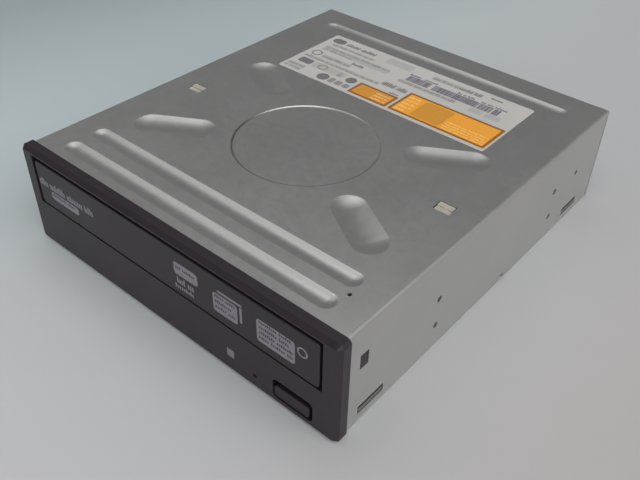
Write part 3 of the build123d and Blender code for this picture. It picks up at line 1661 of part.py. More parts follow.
def jumper_pin_list():
    xs = pin_places(jumper_x, jumper_columns)
    low = board_top + pin_pitch / 2
    return pin_row(xs, low, pin_span()) + pin_row(xs, low + pin_pitch, pin_span())


def make_jumper_block():
    """Base of the six jumper pins."""
    y = (body_rear - connector_depth, body_rear - connector_depth + connector_floor)
    base = block(jumper_x, y, (board_top, board_top + jumper_height))
    for pin in jumper_pin_list():
        base -= pin
    return base


def make_jumper_cap():
    """Small shunt pushed over one pair of jumper pins."""
    x = pin_places(jumper_x, jumper_columns)[0]
    y = (body_rear - connector_depth + connector_floor + jumper_cap_gap, body_rear - jumper_cap_gap)
    z = grown((board_top, board_top + jumper_height), -jumper_cap_inset)
    cap = block(around(x, pin_pitch / 2 - jumper_cap_inset), y, z)
    for pin in jumper_pin_list():
        cap -= pin
    return cap


def audio_pin_list():
    return pin_row(pin_places(audio_x, audio_pins_count), board_top + audio_height / 2, pin_span())


def make_audio_header():
    """Small four-way header for analogue sound, its upper wall cut for the latch."""
    header = socket_box(audio_x, audio_height, audio_wall)
    latch_x = around(middle(audio_x), audio_latch_width / 2)
    latch_y = (body_rear - connector_depth + connector_floor, body_rear)
    header -= block(latch_x, latch_y, (board_top + audio_height / 2, board_top + audio_height))
    for pin in audio_pin_list():
        header -= pin
    return header


def make_header_pins():
    """All the square pins: data header, jumper block and sound header."""
    return ide_pin_list() + jumper_pin_list() + audio_pin_list()


def make_top_label():
    """Paper label on the roof."""
    return rounded_block(label_x, label_y, (body_top, body_top + label_thickness), label_corner)


makers = {
    "top_cover": make_top_cover,
    "bottom_cover": make_bottom_cover,
    "cover_screws": make_cover_screws,
    "front_bezel": make_front_bezel,
    "led_window": make_led_window,
    "tray_door": make_tray_door,
    "disc_tray": make_disc_tray,
    "eject_button": make_eject_button,
    "switch_plunger": make_switch_plunger,
    "eject_switch": make_eject_switch,
    "drive_gear": make_drive_gear,
    "pulley_gear": make_pulley_gear,
    "motor_pulley": make_motor_pulley,
    "motor_shaft": make_motor_shaft,
    "drive_belt": make_drive_belt,
    "loading_motor": make_loading_motor,
    "motor_screws": make_motor_screws,
    "loader_frame": make_loader_frame,
    "clamp_bridge": make_clamp_bridge,
    "clamper": make_clamper,
    "clamper_plate": make_clamper_plate,
    "lift_frame": make_lift_frame,
    "dampers": make_dampers,
    "damper_screws": make_damper_screws,
    "pickup_base": make_pickup_base,
    "main_guide_rod": make_main_guide_rod,
    "side_guide_rod": make_side_guide_rod,
    "sled_motor": make_sled_motor,
    "spindle_motor": make_spindle_motor,
    "spindle_rotor": make_spindle_rotor,
    "turntable": make_turntable,
    "hub_magnet": make_hub_magnet,
    "friction_ring": make_friction_ring,
    "pickup_housing": make_pickup_housing,
    "laser_diode": make_laser_diode,
    "actuator_yoke": make_actuator_yoke,
    "actuator_magnets": make_actuator_magnets,
    "lens_carrier": make_lens_carrier,
    "objective_lens": make_objective_lens,
    "feed_nut": make_feed_nut,
    "feed_screw": make_feed_screw,
    "cam_slider": make_cam_slider,
    "main_board": make_main_board,
    "board_screws": make_board_screws,
    "controller_chip": make_controller_chip,
    "driver_chip": make_driver_chip,
    "memory_chip": make_memory_chip,
    "capacitors": make_capacitors,
    "front_board": make_front_board,
    "status_lamp": make_status_lamp,
    "ribbon_connector": make_ribbon_connector,
    "front_ribbon": make_front_ribbon,
    "ide_header": make_ide_header,
    "power_socket": make_power_socket,
    "power_pins": make_power_pins,
    "jumper_block": make_jumper_block,
    "header_pins": make_header_pins,
    "jumper_cap": make_jumper_cap,
    "audio_header": make_audio_header,
    "top_label": make_top_label,
}


def as_shape(made):
    """One shape from a solid or from a list of separate solids."""
    if isinstance(made, list):
        return Compound([solid for piece in made for solid in piece.solids()])
    return made


os.makedirs("parts", exist_ok=True)
to_origin = Pos(0, -body_rear / 2, 0)
for name, maker in makers.items():
    export_step(to_origin * as_shape(maker()), f"parts/{name}.step")
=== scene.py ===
"""Looks of an internal disc writer: zinc-coated steel case, black front panel, printed label.

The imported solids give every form. This script finishes them, prints the label and the tray
door's marks, and sets the floor, the lamps and the camera. Lengths are millimetres where a name
ends in mm and in all print, and metres elsewhere. x runs to the right, y to the rear and z up,
as in the frame.
"""

import json
import random
from math import cos, pi, sin

import bmesh
import bpy
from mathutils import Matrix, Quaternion, Vector


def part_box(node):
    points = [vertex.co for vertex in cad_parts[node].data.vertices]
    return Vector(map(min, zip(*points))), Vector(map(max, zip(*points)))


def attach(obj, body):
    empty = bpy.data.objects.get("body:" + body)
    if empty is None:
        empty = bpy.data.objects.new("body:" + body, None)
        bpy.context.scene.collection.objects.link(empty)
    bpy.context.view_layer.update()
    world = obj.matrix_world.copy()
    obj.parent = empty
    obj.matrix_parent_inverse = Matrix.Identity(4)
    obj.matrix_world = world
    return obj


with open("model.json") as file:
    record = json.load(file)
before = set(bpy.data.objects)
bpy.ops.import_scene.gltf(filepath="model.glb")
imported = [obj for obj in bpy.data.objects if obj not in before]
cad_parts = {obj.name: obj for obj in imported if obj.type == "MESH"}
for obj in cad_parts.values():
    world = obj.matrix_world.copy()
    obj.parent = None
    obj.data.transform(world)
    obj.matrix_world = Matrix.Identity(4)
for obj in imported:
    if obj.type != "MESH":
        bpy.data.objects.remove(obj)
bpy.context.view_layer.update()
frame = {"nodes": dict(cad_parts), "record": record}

MM = 0.001

# Camera, at the photograph's angle, with its roll in radians
CAMERA_PLACE = Vector((0.15694, -0.19370, 0.19125))
CAMERA_AIM = Vector((0.02558, -0.02642, 0.02000))
CAMERA_ROLL = 0.0433
CAMERA_LENS_MM = 42.9
CAMERA_SHIFT = (-0.0296, -0.0118)
CAMERA_NEAR = 0.01

# Lamps: place, size across, power in watts, colour
LAMPS = {
    "key": ((2.8, -1.6, 2.6), 6.5, 235.0, (1.0, 0.99, 0.98)),
    "right": ((3.0, 0.9, 1.8), 4.0, 22.0, (0.98, 0.99, 1.0)),
    "over": ((-1.15, -0.4, 2.3), 2.4, 13.5, (1.0, 0.99, 0.97)),
    "back": ((-0.65, 0.75, 2.35), 1.4, 5.0, (0.97, 0.98, 1.0)),
}

# Room: the walls' light at the table's level, the ceiling's above this rise, where 1 is straight up
WALLS = (0.36, 0.365, 0.37)
CEILING = (0.135, 0.14, 0.145)
CEILING_RISE = 0.22

# Floor: half its width in metres, its shades as 0 to 255, then where each change of tone starts
# and how far it reaches
FLOOR_HALF = 2.5
FLOOR_COOL = (188, 201, 205)
FLOOR_WARM = (180, 172, 171)
# Painted light in front and painted shade far to the left: the two shades below
FLOOR_FRONT_PAINTED_LIGHT = (208, 204, 208)
FLOOR_FAR_PAINTED_SHADE = (154, 168, 169)
WARM_FROM_MM = -189
WARM_OVER_MM = 420
FRONT_FROM_MM = -80
FRONT_OVER_MM = 160
FAR_SLANT = 0.35
FAR_FROM_MM = 135
FAR_OVER_MM = 150

# Painted shade: the line below stands in for the shade on the front of the circle's pressed step
# Dark line round the front of the top cover's pressed circle: its radius, how far it fades to each
# side, its shade, and its strength level with the circle's middle
CIRCLE_RADIUS_MM = 27.2
CIRCLE_LINE_MM = 0.6
CIRCLE_PAINTED_SHADE = (104, 103, 102)
CIRCLE_SIDE_STRENGTH = 0.7

# Two shades of each finish as 0 to 255, where its tone is 0 and where it is 1
SHADES = {
    "top_cover": ((174, 175, 172), (191, 191, 188)),
    # Painted shade: cover_steel, which the bottom cover takes, is the top cover's zinc made darker
    "cover_steel": ((112, 113, 111), (132, 132, 130)),
    "clamp_bridge": ((172, 168, 158), (214, 208, 192)),
    "bright_steel": ((168, 169, 170), (205, 205, 204)),
    "screw_steel": ((175, 174, 168), (215, 213, 206)),
    "panel_plastic": ((31, 22, 29), (40, 30, 38)),
    "tray_plastic": ((36, 36, 38), (50, 50, 52)),
    "frame_plastic": ((46, 47, 50), (62, 63, 66)),
    "lamp_window": ((124, 124, 130), (144, 144, 150)),
    "switch_body": ((34, 34, 36), (48, 48, 50)),
    "switch_stem": ((150, 128, 84), (182, 160, 112)),
    "gear_plastic": ((214, 210, 196), (235, 232, 220)),
    "motor_can": ((160, 162, 165), (204, 205, 207)),
    "belt_rubber": ((28, 28, 29), (54, 54, 55)),
    "cast_metal": ((138, 139, 142), (186, 187, 190)),
    "magnet": ((92, 93, 97), (132, 133, 138)),
    "gilt": ((205, 164, 72), (240, 206, 120)),
    "lens_plastic": ((40, 41, 44), (58, 59, 62)),
    "lens_glass": ((170, 190, 232), (205, 218, 245)),
    "board_green": ((18, 68, 40), (34, 104, 62)),
    "chip_epoxy": ((30, 30, 32), (50, 50, 52)),
    "chip_leads": ((150, 152, 155), (205, 206, 208)),
    "connector_pale": ((214, 208, 186), (234, 229, 210)),
    "connector_black": ((26, 26, 28), (42, 42, 44)),
    "ribbon_white": ((186, 190, 196), (226, 227, 226)),
    "label_paper": ((184, 181, 177), (202, 199, 195)),
    "label_grey_ink": ((132, 133, 131), (152, 152, 150)),
    "label_dark_ink": ((108, 107, 110), (128, 126, 129)),
    "label_faint_ink": ((170, 170, 167), (182, 181, 178)),
    "label_code_ink": ((106, 99, 112), (124, 118, 130)),
    "label_brown_ink": ((142, 92, 28), (160, 106, 42)),
    "label_amber_ink": ((208, 142, 58), (218, 154, 74)),
    "label_orange_ink": ((238, 158, 46), (242, 170, 64)),
    "label_ochre_ink": ((204, 140, 44), (218, 154, 58)),
    "label_yellow_ink": ((246, 196, 104), (250, 208, 126)),
    "door_pale_ink": ((136, 133, 140), (114, 111, 119)),
    "door_dark_ink": ((48, 43, 47), (60, 54, 59)),
}
LABEL_INK_ROUGHNESS = 0.5
DOOR_INK_ROUGHNESS = 0.42

# A board's tracks: their pitch, the share of it between them, and the shares of all regions where
# they run straight back and where there are none
TRACK_PITCH_MM = 1.1
TRACK_GAP_SHARE = 0.55
STRAIGHT_SHARE = 0.5
BARE_SHARE = 0.35

# Other patterns: the rolling lines' stretch along x, y and z, a ribbon's pitch, the chips' leads
ROLLING_LINES = (1, 30, 1)
CONDUCTOR_PITCH_MM = 1.0
LEAD_MM = 0.9

# Heights of the printed layers
INK_MM = 0.03
OVERPRINT_MM = 0.05

# Rows of narrow bars in place of lines of print, and stripes in place of codes
SMALL_LETTER = 0.6
CODE_LETTER = 0.7
DARK_LETTER = 0.9
WORD_LETTERS = (3, 9)
TALL_SHARE = 0.35
SHORT_HEIGHT = 0.7
BAR_SHARE = 0.66
BAR_CORNER = 0.05
STRIPE_WIDTHS = (0.3, 0.5, 0.8)
STRIPE_GAPS = (0.1, 0.15, 0.25)
STRIPE_CORNER = 0.02
CORNER_STEPS = 3
CIRCLE_POINTS = 28
LABEL_SEED = 7
DOOR_SEED = 4

# Label print, from the label's front left corner. Rows and fields: left, low, right, high
GREY_ROWS = (
    (5.2, 30.1, 27.7, 31.6), (4.0, 26.4, 39.0, 28.1), (4.4, 24.3, 20.6, 25.7),
    (9.0, 18.1, 24.0, 20.2), (2.3, 14.3, 42.0, 16.0), (56.5, 34.3, 69.0, 36.6),
    (46.5, 23.0, 74.0, 24.9), (1.6, 2.0, 9.8, 3.4), (1.6, 4.6, 9.8, 6.0),
    (25.0, 8.6, 27.5, 12.4),
)
DARK_ROWS = (
    (9.8, 33.9, 27.7, 36.4), (69.4, 34.3, 79.8, 36.6), (83.6, 36.3, 88.2, 37.8),
    (23.0, 21.0, 29.4, 23.2), (43.2, 15.9, 49.0, 18.7), (51.0, 15.9, 54.6, 18.9),
    (50.3, 11.9, 54.4, 13.2),
)
GREY_SIGNS = ((25.0, 2.2, 27.5, 6.2), (28.3, 2.4, 31.4, 6.0), (32.2, 2.6, 35.2, 5.8))
FAINT_FIELDS = (
    (32.3, 32.9, 45.7, 37.9), (81.2, 21.8, 87.2, 25.3), (88.4, 21.8, 95.2, 25.3),
    (4.6, 29.8, 28.2, 31.9), (3.6, 24.0, 39.4, 28.5), (1.8, 14.0, 42.4, 16.4),
    (8.6, 17.7, 24.4, 20.6), (1.2, 1.6, 10.4, 6.6), (11.0, 8.2, 28.2, 12.9),
    (56.0, 34.0, 80.2, 37.0), (46.0, 22.6, 74.6, 25.2), (42.8, 15.4, 55.0, 19.2),
)
SIGN_CORNER = 0.6
SMALL_PANEL = (36.5, 1.5, 55.7, 11.3)
LARGE_PANEL = (56.8, 1.7, 100.8, 18.5)
PANEL_EDGE = 1.2
PANEL_CORNER = 0.4

# Rings: across, up, radius, stroke. Spots: across, up, radius. Plates: as fields, then the corner
GREY_RINGS = ((5.0, 19.8, 2.6, 0.9), (16.1, 10.6, 2.4, 0.8))
DARK_SPOTS = ((32.4, 9.6, 2.5), (21.5, 4.3, 2.8))
DARK_PLATES = ((1.9, 32.9, 8.6, 37.5, 2.2), (3.2, 8.4, 10.0, 12.7, 1.0))
OCHRE_PLATES = ((66.0, 3.6, 79.6, 16.6, 1.2), (38.4, 3.2, 45.4, 9.6, 0.8))

# Yellow rows: left, low, right and high of the first one, then their pitch and their count
YELLOW_ROWS = (
    (58.6, 3.6, 64.6, 5.2, 2.7, 5), (80.6, 3.4, 98.8, 4.3, 1.7, 4),
    (46.8, 3.4, 53.8, 4.5, 2.2, 3),
)

# Striped blocks and the broken row above them: the ends of each, then the low and high of all
CODE_BLOCKS = ((48.2, 59.4), (61.0, 82.3), (82.8, 88.6), (89.4, 92.3))
CODE_WORDS = (
    (47.3, 52.3), (54.8, 60.7), (71.0, 75.0), (75.7, 79.0), (82.3, 87.3), (88.6, 93.6),
)
CODE_HEIGHTS = (25.8, 30.4)
CODE_WORD_HEIGHTS = (30.8, 32.4)

# Marks on the tray door, across from its middle and above the table: left, low, right, high
DOOR_FIELDS = (
    (6.4, 28.8, 17.4, 33.8), (24.0, 24.0, 34.6, 31.8), (42.6, 23.6, 57.8, 32.8),
    (-60.0, 24.8, -44.0, 28.0),
)
DOOR_ROWS = ((7.4, 25.2, 15.6, 27.8), (6.2, 22.8, 16.6, 24.4), (-66.0, 28.8, -35.6, 31.8))
DOOR_STRIPS = ((26.2, 32.6, 36.6, 33.5), (35.6, 25.8, 36.6, 32.2))
DOOR_RING = (60.6, 30.8, 2.0, 0.6)
DOOR_FIELD_CORNER = 1.2
DOOR_STRIP_CORNER = 0.4
DOOR_LETTER = 1.0

# Dark rows on the door's fields
FIELD_LETTER = 0.8
FIELD_MARGIN = 1.0
FIELD_ROW_PITCH = 2.0
FIELD_ROW_HEIGHT = 1.1
FIELD_FOOT_SHARE = 0.7
FIELD_SPARE_SHARE = 0.4


def linear(value):
    """One channel of 0 to 255 as light, by the sRGB curve."""
    share = value / 255
    return share / 12.92 if share <= 0.04045 else ((share + 0.055) / 1.055) ** 2.4


def shade(red, green, blue):
    """A colour written as 0 to 255, as shader nodes take it."""
    return (linear(red), linear(green), linear(blue), 1.0)


class Signal:
    """One output of a node, so that sums on it read as plain arithmetic."""

    def __init__(self, paint, socket):
        self.paint = paint
        self.socket = socket

    def __add__(self, other):
        return self.paint.maths("ADD", self, other)

    def __sub__(self, other):
        return self.paint.maths("SUBTRACT", self, other)

    def __rsub__(self, other):
        return self.paint.maths("SUBTRACT", other, self)

    def __mul__(self, other):
        return self.paint.maths("MULTIPLY", self, other)

    def __truediv__(self, other):
        return self.paint.maths("DIVIDE", self, other)

    def __gt__(self, other):
        return self.paint.maths("GREATER_THAN", self, other)

    def __abs__(self):
        return self.paint.maths("ABSOLUTE", self)

    __radd__ = __add__
    __rmul__ = __mul__


class Paint:
    """The nodes of a material or of the room, with the few kinds that the finishes are made of."""

    def __init__(self, owner):
        owner.use_nodes = True
        self.owner = owner
        self.tree = owner.node_tree
        self.tree.nodes.clear()

    def node(self, kind, settings=None, sockets=None, output=0):
        """Adds a node of that kind. Its settings come first, then its sockets' values or links."""
        made = self.tree.nodes.new(kind)
        for name, value in (settings or {}).items():
            setattr(made, name, value)
        for name, value in (sockets or {}).items():
            if isinstance(value, Signal):
                self.tree.links.new(value.socket, made.inputs[name])
            else:
                made.inputs[name].default_value = value
        return Signal(self, made.outputs[output]) if made.outputs else None

    def maths(self, operation, *values):
        """One operation on numbers or signals."""
        return self.node("ShaderNodeMath", {"operation": operation}, dict(enumerate(values)))

    def clamped(self, signal):
        """The signal, kept from 0 to 1."""
        return self.node("ShaderNodeClamp", sockets={"Value": signal})

    def place(self, stretch=(1, 1, 1)):
        """Where the surface lies, in millimetres, with each axis divided by its stretch."""
        spot = self.node("ShaderNodeTexCoord", output="Object")
        factors = tuple(1 / (MM * length) for length in stretch)
        return self.node("ShaderNodeVectorMath", {"operation": "MULTIPLY"}, {0: spot, 1: factors})

    def axis(self, letter):
        """One axis of the place, in millimetres."""
        return self.node("ShaderNodeSeparateXYZ", sockets={0: self.place()}, output=letter)

    def ridges(self, letter, pitch_mm):
        """From 0 to 1 and back over each pitch along that axis."""
        half = pitch_mm / 2
        return self.maths("PINGPONG", self.axis(letter), half) / half

    def noise(self, size_mm, stretch=(1, 1, 1), detail=2.0, rough=0.5):
        """Soft noise from 0 to 1, with features of about that size."""
        values = {"Vector": self.place(stretch), "Scale": 1 / size_mm}
        values.update({"Detail": detail, "Roughness": rough})
        return self.node("ShaderNodeTexNoise", sockets=values)

    def cells(self, size_mm):
        """A random tone from 0 to 1 for each crystal of about that size."""
        values = {"Vector": self.place(), "Scale": 1 / size_mm}
        colour = self.node("ShaderNodeTexVoronoi", sockets=values, output="Color")
        return self.node("ShaderNodeSeparateColor", sockets={0: colour})

    def blend(self, share, first, second):
        """The first colour where the share is 0, the second where it is 1."""
        values = {0: share, 6: first, 7: second}
        return self.node("ShaderNodeMix", {"data_type": "RGBA"}, values, output=2)

    def shaded(self, tone, name):
        """From the first shade of that name to its second, as the tone goes from 0 to 1."""
        first, second = SHADES[name]
        return self.blend(tone, shade(*first), shade(*second))

    def relief(self, height, depth_mm):
        """The surface's normal after a relief whose height runs from 0 to 1."""
        values = {"Height": height, "Distance": depth_mm * MM, "Strength": 1.0}
        return self.node("ShaderNodeBump", sockets=values)

    def finish(self, colour, roughness, metallic=0.0, normal=None, **constants):
        """Ends the material in a shader. Other values are constants named as its sockets."""
        values = {"Base Color": colour, "Roughness": roughness, "Metallic": metallic}
        if normal is not None:
            values["Normal"] = normal
        values.update({name.replace("_", " "): value for name, value in constants.items()})
        surface = self.node("ShaderNodeBsdfPrincipled", sockets=values)
        self.node("ShaderNodeOutputMaterial", sockets={"Surface": surface})
        return self.owner


def new_paint(name):
    """A new material of that name, with no nodes yet."""
    return Paint(bpy.data.materials.new(name))


def middle_mm(node):
    """The middle of a node's box, in millimetres."""
    low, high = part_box(node)
    return (low + high) / (2 * MM)


def painted_circle_shade(paint):
    """Painted shade: 1 along the front of the pressed circle's edge, fading to 0 on both sides and
    to the rear.
    """
    hub = middle_mm("hub_magnet")
    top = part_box("top_cover")[1].z / MM
    sockets = {0: paint.place(), 1: (hub.x, hub.y, top)}
    away = paint.node("ShaderNodeVectorMath", {"operation": "DISTANCE"}, sockets, output="Value")
    edge = paint.clamped(1 - abs(away - CIRCLE_RADIUS_MM) / CIRCLE_LINE_MM)
    front = paint.clamped(CIRCLE_SIDE_STRENGTH - (paint.axis("Y") - hub.y) / CIRCLE_RADIUS_MM)
    return edge * front


def zinc_sheet(name, with_painted_circle_shade=False):
    """Cold rolled sheet under a zinc coat: fine bloom, faint rolling lines, soft smudges, and on
    the top cover a painted shade round the front of the pressed circle.
    """
    paint = new_paint(name)
    bloom = paint.cells(size_mm=1.7)
    lines = paint.noise(size_mm=0.5, stretch=ROLLING_LINES, detail=3)
    cloud = paint.noise(size_mm=34, detail=3)
    grain = paint.noise(size_mm=0.22)
    colour = paint.shaded(paint.clamped(0.16 * bloom + 0.34 * lines + 0.75 * cloud - 0.12), name)
    # Painted shade along the front of the pressed circle's step
    if with_painted_circle_shade:
        colour = paint.blend(painted_circle_shade(paint), colour, shade(*CIRCLE_PAINTED_SHADE))
    roughness = 0.27 + 0.07 * cloud + 0.04 * bloom
    normal = paint.relief(0.55 * grain + 0.45 * lines, depth_mm=0.012)
    return paint.finish(colour, roughness, metallic=0.8, normal=normal)


def drawn_metal(name, roughness, stretch=(1, 1, 14), size_mm=0.3):
    """Bare or plated metal with fine tool marks along one way."""
    paint = new_paint(name)
    marks = paint.noise(size_mm, stretch, detail=3)
    cloud = paint.noise(size_mm=9)
    colour = paint.shaded(paint.clamped(0.6 * marks + 0.6 * cloud - 0.1), name)
    uneven = roughness + 0.14 * marks - 0.07 + 0.08 * cloud
    return paint.finish(colour, uneven, metallic=1.0, normal=paint.relief(marks, depth_mm=0.006))


def pressed_plate(name):
    """A pale plated pressing, duller than the case."""
    paint = new_paint(name)
    cloud = paint.noise(size_mm=3)
    grain = paint.noise(size_mm=0.3)
    colour = paint.shaded(paint.clamped(1.2 * cloud + 0.1 * grain - 0.15), name)
    roughness = 0.46 + 0.12 * cloud
    normal = paint.relief(grain, depth_mm=0.003)
    return paint.finish(colour, roughness, metallic=0.35, normal=normal)


def moulded(name, roughness, grain_mm=0.28):
    """Moulded plastic: an eroded grain, a faint flow of tone and slightly uneven gloss."""
    paint = new_paint(name)
    grain = paint.noise(grain_mm)
    flow = paint.noise(size_mm=22, detail=3)
    colour = paint.shaded(paint.clamped(0.8 * flow + 0.35 * grain - 0.08), name)
    uneven = roughness + 0.12 * (flow - 0.5) + 0.10 * (grain - 0.5)
    return paint.finish(colour, uneven, normal=paint.relief(grain, depth_mm=0.02))


def rubber(name):
    """Matt rubber with a dusty bloom."""
    paint = new_paint(name)
    dust = paint.noise(size_mm=1.6, detail=4)
    grain = paint.noise(size_mm=0.15)
    colour = paint.shaded(paint.clamped(1.4 * dust - 0.3), name)
    roughness = 0.82 + 0.1 * grain
    return paint.finish(colour, roughness, normal=paint.relief(grain, depth_mm=0.015))


def cast_metal(name):
    """Die-cast alloy: a sandy skin with brighter high spots."""
    paint = new_paint(name)
    sand = paint.noise(size_mm=0.35, detail=4, rough=0.6)
    cloud = paint.noise(size_mm=12, detail=3)
    colour = paint.shaded(paint.clamped(0.7 * sand + 0.7 * cloud - 0.2), name)
    roughness = 0.42 + 0.18 * sand
    return paint.finish(colour, roughness, metallic=0.9, normal=paint.relief(sand, depth_mm=0.03))


def solder_mask(name):
    """A printed board: tracks under green lacquer that run one way or the other by region."""
    paint = new_paint(name)
    turned = paint.cells(size_mm=7.5) > STRAIGHT_SHARE
    busy = paint.cells(size_mm=3.4) > BARE_SHARE
    across = paint.ridges("Y", TRACK_PITCH_MM)
    back = paint.ridges("X", TRACK_PITCH_MM)
    track = (across * turned + back * (1 - turned) > TRACK_GAP_SHARE) * busy
    weave = paint.noise(size_mm=0.5, detail=3)
    colour = paint.shaded(paint.clamped(0.85 * track + 0.2 * weave), name)
    roughness = 0.34 + 0.12 * weave
    normal = paint.relief(track, depth_mm=0.03)
    return paint.finish(colour, roughness, normal=normal, Coat_Weight=0.3, Coat_Roughness=0.15)


def chip_package(node):
    """An epoxy body with tinned leads along its sides, told apart by their place."""
    low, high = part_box(node)
    middle = middle_mm(node)
    half = (high - low) / (2 * MM)
    paint = new_paint(node)
    out_x = abs(paint.axis("X") - middle.x) > half.x - LEAD_MM
    out_y = abs(paint.axis("Y") - middle.y) > half.y - LEAD_MM
    lead = paint.maths("MAXIMUM", out_x, out_y)
    grain = paint.noise(size_mm=0.12, detail=3)
    colour = paint.blend(lead, paint.shaded(grain, "chip_epoxy"), paint.shaded(grain, "chip_leads"))
    roughness = 0.62 - 0.28 * lead + 0.08 * grain
    normal = paint.relief(grain, depth_mm=0.02)
    return paint.finish(colour, roughness, metallic=lead * 0.9, normal=normal)


def flat_cable(name):
    """White ribbon with a faint ridge over each conductor."""
    paint = new_paint(name)
    ridge = paint.ridges("X", CONDUCTOR_PITCH_MM)
    cloud = paint.noise(size_mm=6)
    colour = paint.shaded(paint.clamped(0.5 * ridge + 0.4 * cloud), name)
    roughness = 0.42 + 0.1 * cloud
    return paint.finish(colour, roughness, normal=paint.relief(ridge, depth_mm=0.06))


def label_stock(name):
    """Coated paper: near white, with fine fibres and a slight sheen."""
    paint = new_paint(name)
    fibre = paint.noise(size_mm=0.3, stretch=(3, 1, 1), detail=3)
    cloud = paint.noise(size_mm=26)
    colour = paint.shaded(paint.clamped(0.35 * fibre + 0.6 * cloud), name)
    roughness = 0.46 + 0.08 * cloud
    return paint.finish(colour, roughness, normal=paint.relief(fibre, depth_mm=0.008))


def ink(name, roughness):
    """A printed layer that lets a little of the ground through where it lies thin."""
    paint = new_paint(name)
    cover = paint.noise(size_mm=0.9, detail=3)
    cloud = paint.noise(size_mm=14)
    colour = paint.shaded(paint.clamped(0.5 * cover + 0.5 * cloud - 0.15), name)
    uneven = roughness + 0.1 * cover
    return paint.finish(colour, uneven, normal=paint.relief(cover, depth_mm=0.004))


def clear_plastic(name, roughness, clearness):
    """Clear moulding with a slight swirl."""
    paint = new_paint(name)
    swirl = paint.noise(size_mm=1.2, detail=3)
    colour = paint.shaded(swirl, name)
    uneven = roughness + 0.06 * swirl
    normal = paint.relief(swirl, depth_mm=0.01)
    return paint.finish(colour, uneven, normal=normal, Transmission_Weight=clearness, IOR=1.5)


def floor_finish(name):
    """Smooth pale table, cooler on the left, with painted light making it lighter in front and
    painted shade making it darker far to the left.
    """
    paint = new_paint(name)
    across = paint.clamped((paint.axis("X") - WARM_FROM_MM) / WARM_OVER_MM)
    cloud = paint.noise(size_mm=90)
    tone = paint.clamped(across + 0.16 * (cloud - 0.5))
    # Painted light, lighter towards the front
    front = paint.clamped((FRONT_FROM_MM - paint.axis("Y")) / FRONT_OVER_MM)
    # Painted shade, darker far to the left
    leftwards = FAR_SLANT * paint.axis("Y") - paint.axis("X")
    far_left_painted_shade = paint.clamped((leftwards - FAR_FROM_MM) / FAR_OVER_MM)
    plain = paint.blend(tone, shade(*FLOOR_COOL), shade(*FLOOR_WARM))
    with_front_painted_light = paint.blend(front, plain, shade(*FLOOR_FRONT_PAINTED_LIGHT))
    roughness = 0.62 + 0.06 * cloud
    return paint.finish(paint.blend(far_left_painted_shade, with_front_painted_light, shade(*FLOOR_FAR_PAINTED_SHADE)), roughness)


def slot_finishes():
    """The finish of each material slot in the record, apart from those of single nodes."""
    recipes = {
        # Painted shade: the bottom cover's zinc, a darker copy of the top cover's
        "cover_steel": (zinc_sheet, {}),
        "bright_steel": (drawn_metal, {"roughness": 0.30}),
        "screw_steel": (drawn_metal, {"roughness": 0.26, "size_mm": 0.15}),
        "motor_can": (drawn_metal, {"roughness": 0.28, "stretch": (6, 6, 1)}),
        "magnet": (drawn_metal, {"roughness": 0.36, "stretch": (1, 1, 1)}),
        "gilt": (drawn_metal, {"roughness": 0.24, "size_mm": 0.12}),
        "cast_metal": (cast_metal, {}),
        "panel_plastic": (moulded, {"roughness": 0.44}),
        "tray_plastic": (moulded, {"roughness": 0.50}),
        "frame_plastic": (moulded, {"roughness": 0.55, "grain_mm": 0.5}),
        "gear_plastic": (moulded, {"roughness": 0.34, "grain_mm": 0.6}),
        "switch_body": (moulded, {"roughness": 0.36, "grain_mm": 0.15}),
        "switch_stem": (moulded, {"roughness": 0.38, "grain_mm": 0.15}),
        "lens_plastic": (moulded, {"roughness": 0.42, "grain_mm": 0.15}),
        "connector_pale": (moulded, {"roughness": 0.44, "grain_mm": 0.3}),
        "connector_black": (moulded, {"roughness": 0.44, "grain_mm": 0.3}),
        "lamp_window": (clear_plastic, {"roughness": 0.35, "clearness": 0.2}),
        "lens_glass": (clear_plastic, {"roughness": 0.05, "clearness": 0.85}),
        "belt_rubber": (rubber, {}),
        "board_green": (solder_mask, {}),
        "ribbon_white": (flat_cable, {}),
        "label_paper": (label_stock, {}),
    }
    return {slot: recipe(slot, **values) for slot, (recipe, values) in recipes.items()}


def node_finishes():
    """The finish of each node that doesn't take its slot's."""
    finishes = {
        "top_cover": zinc_sheet("top_cover", with_painted_circle_shade=True),
        "clamp_bridge": pressed_plate("clamp_bridge"),
    }
    for chip in ("controller_chip", "driver_chip", "memory_chip"):
        finishes[chip] = chip_package(chip)
    return finishes


def dress_nodes():
    """Gives every CAD node its finish."""
    by_slot = slot_finishes()
    by_node = node_finishes()
    for row in frame["record"]["subparts"]:
        node = row["node"]
        slots = frame["nodes"][node].data.materials
        slots.clear()
        slots.append(by_node[node] if node in by_node else by_slot[row["material_slot"]])


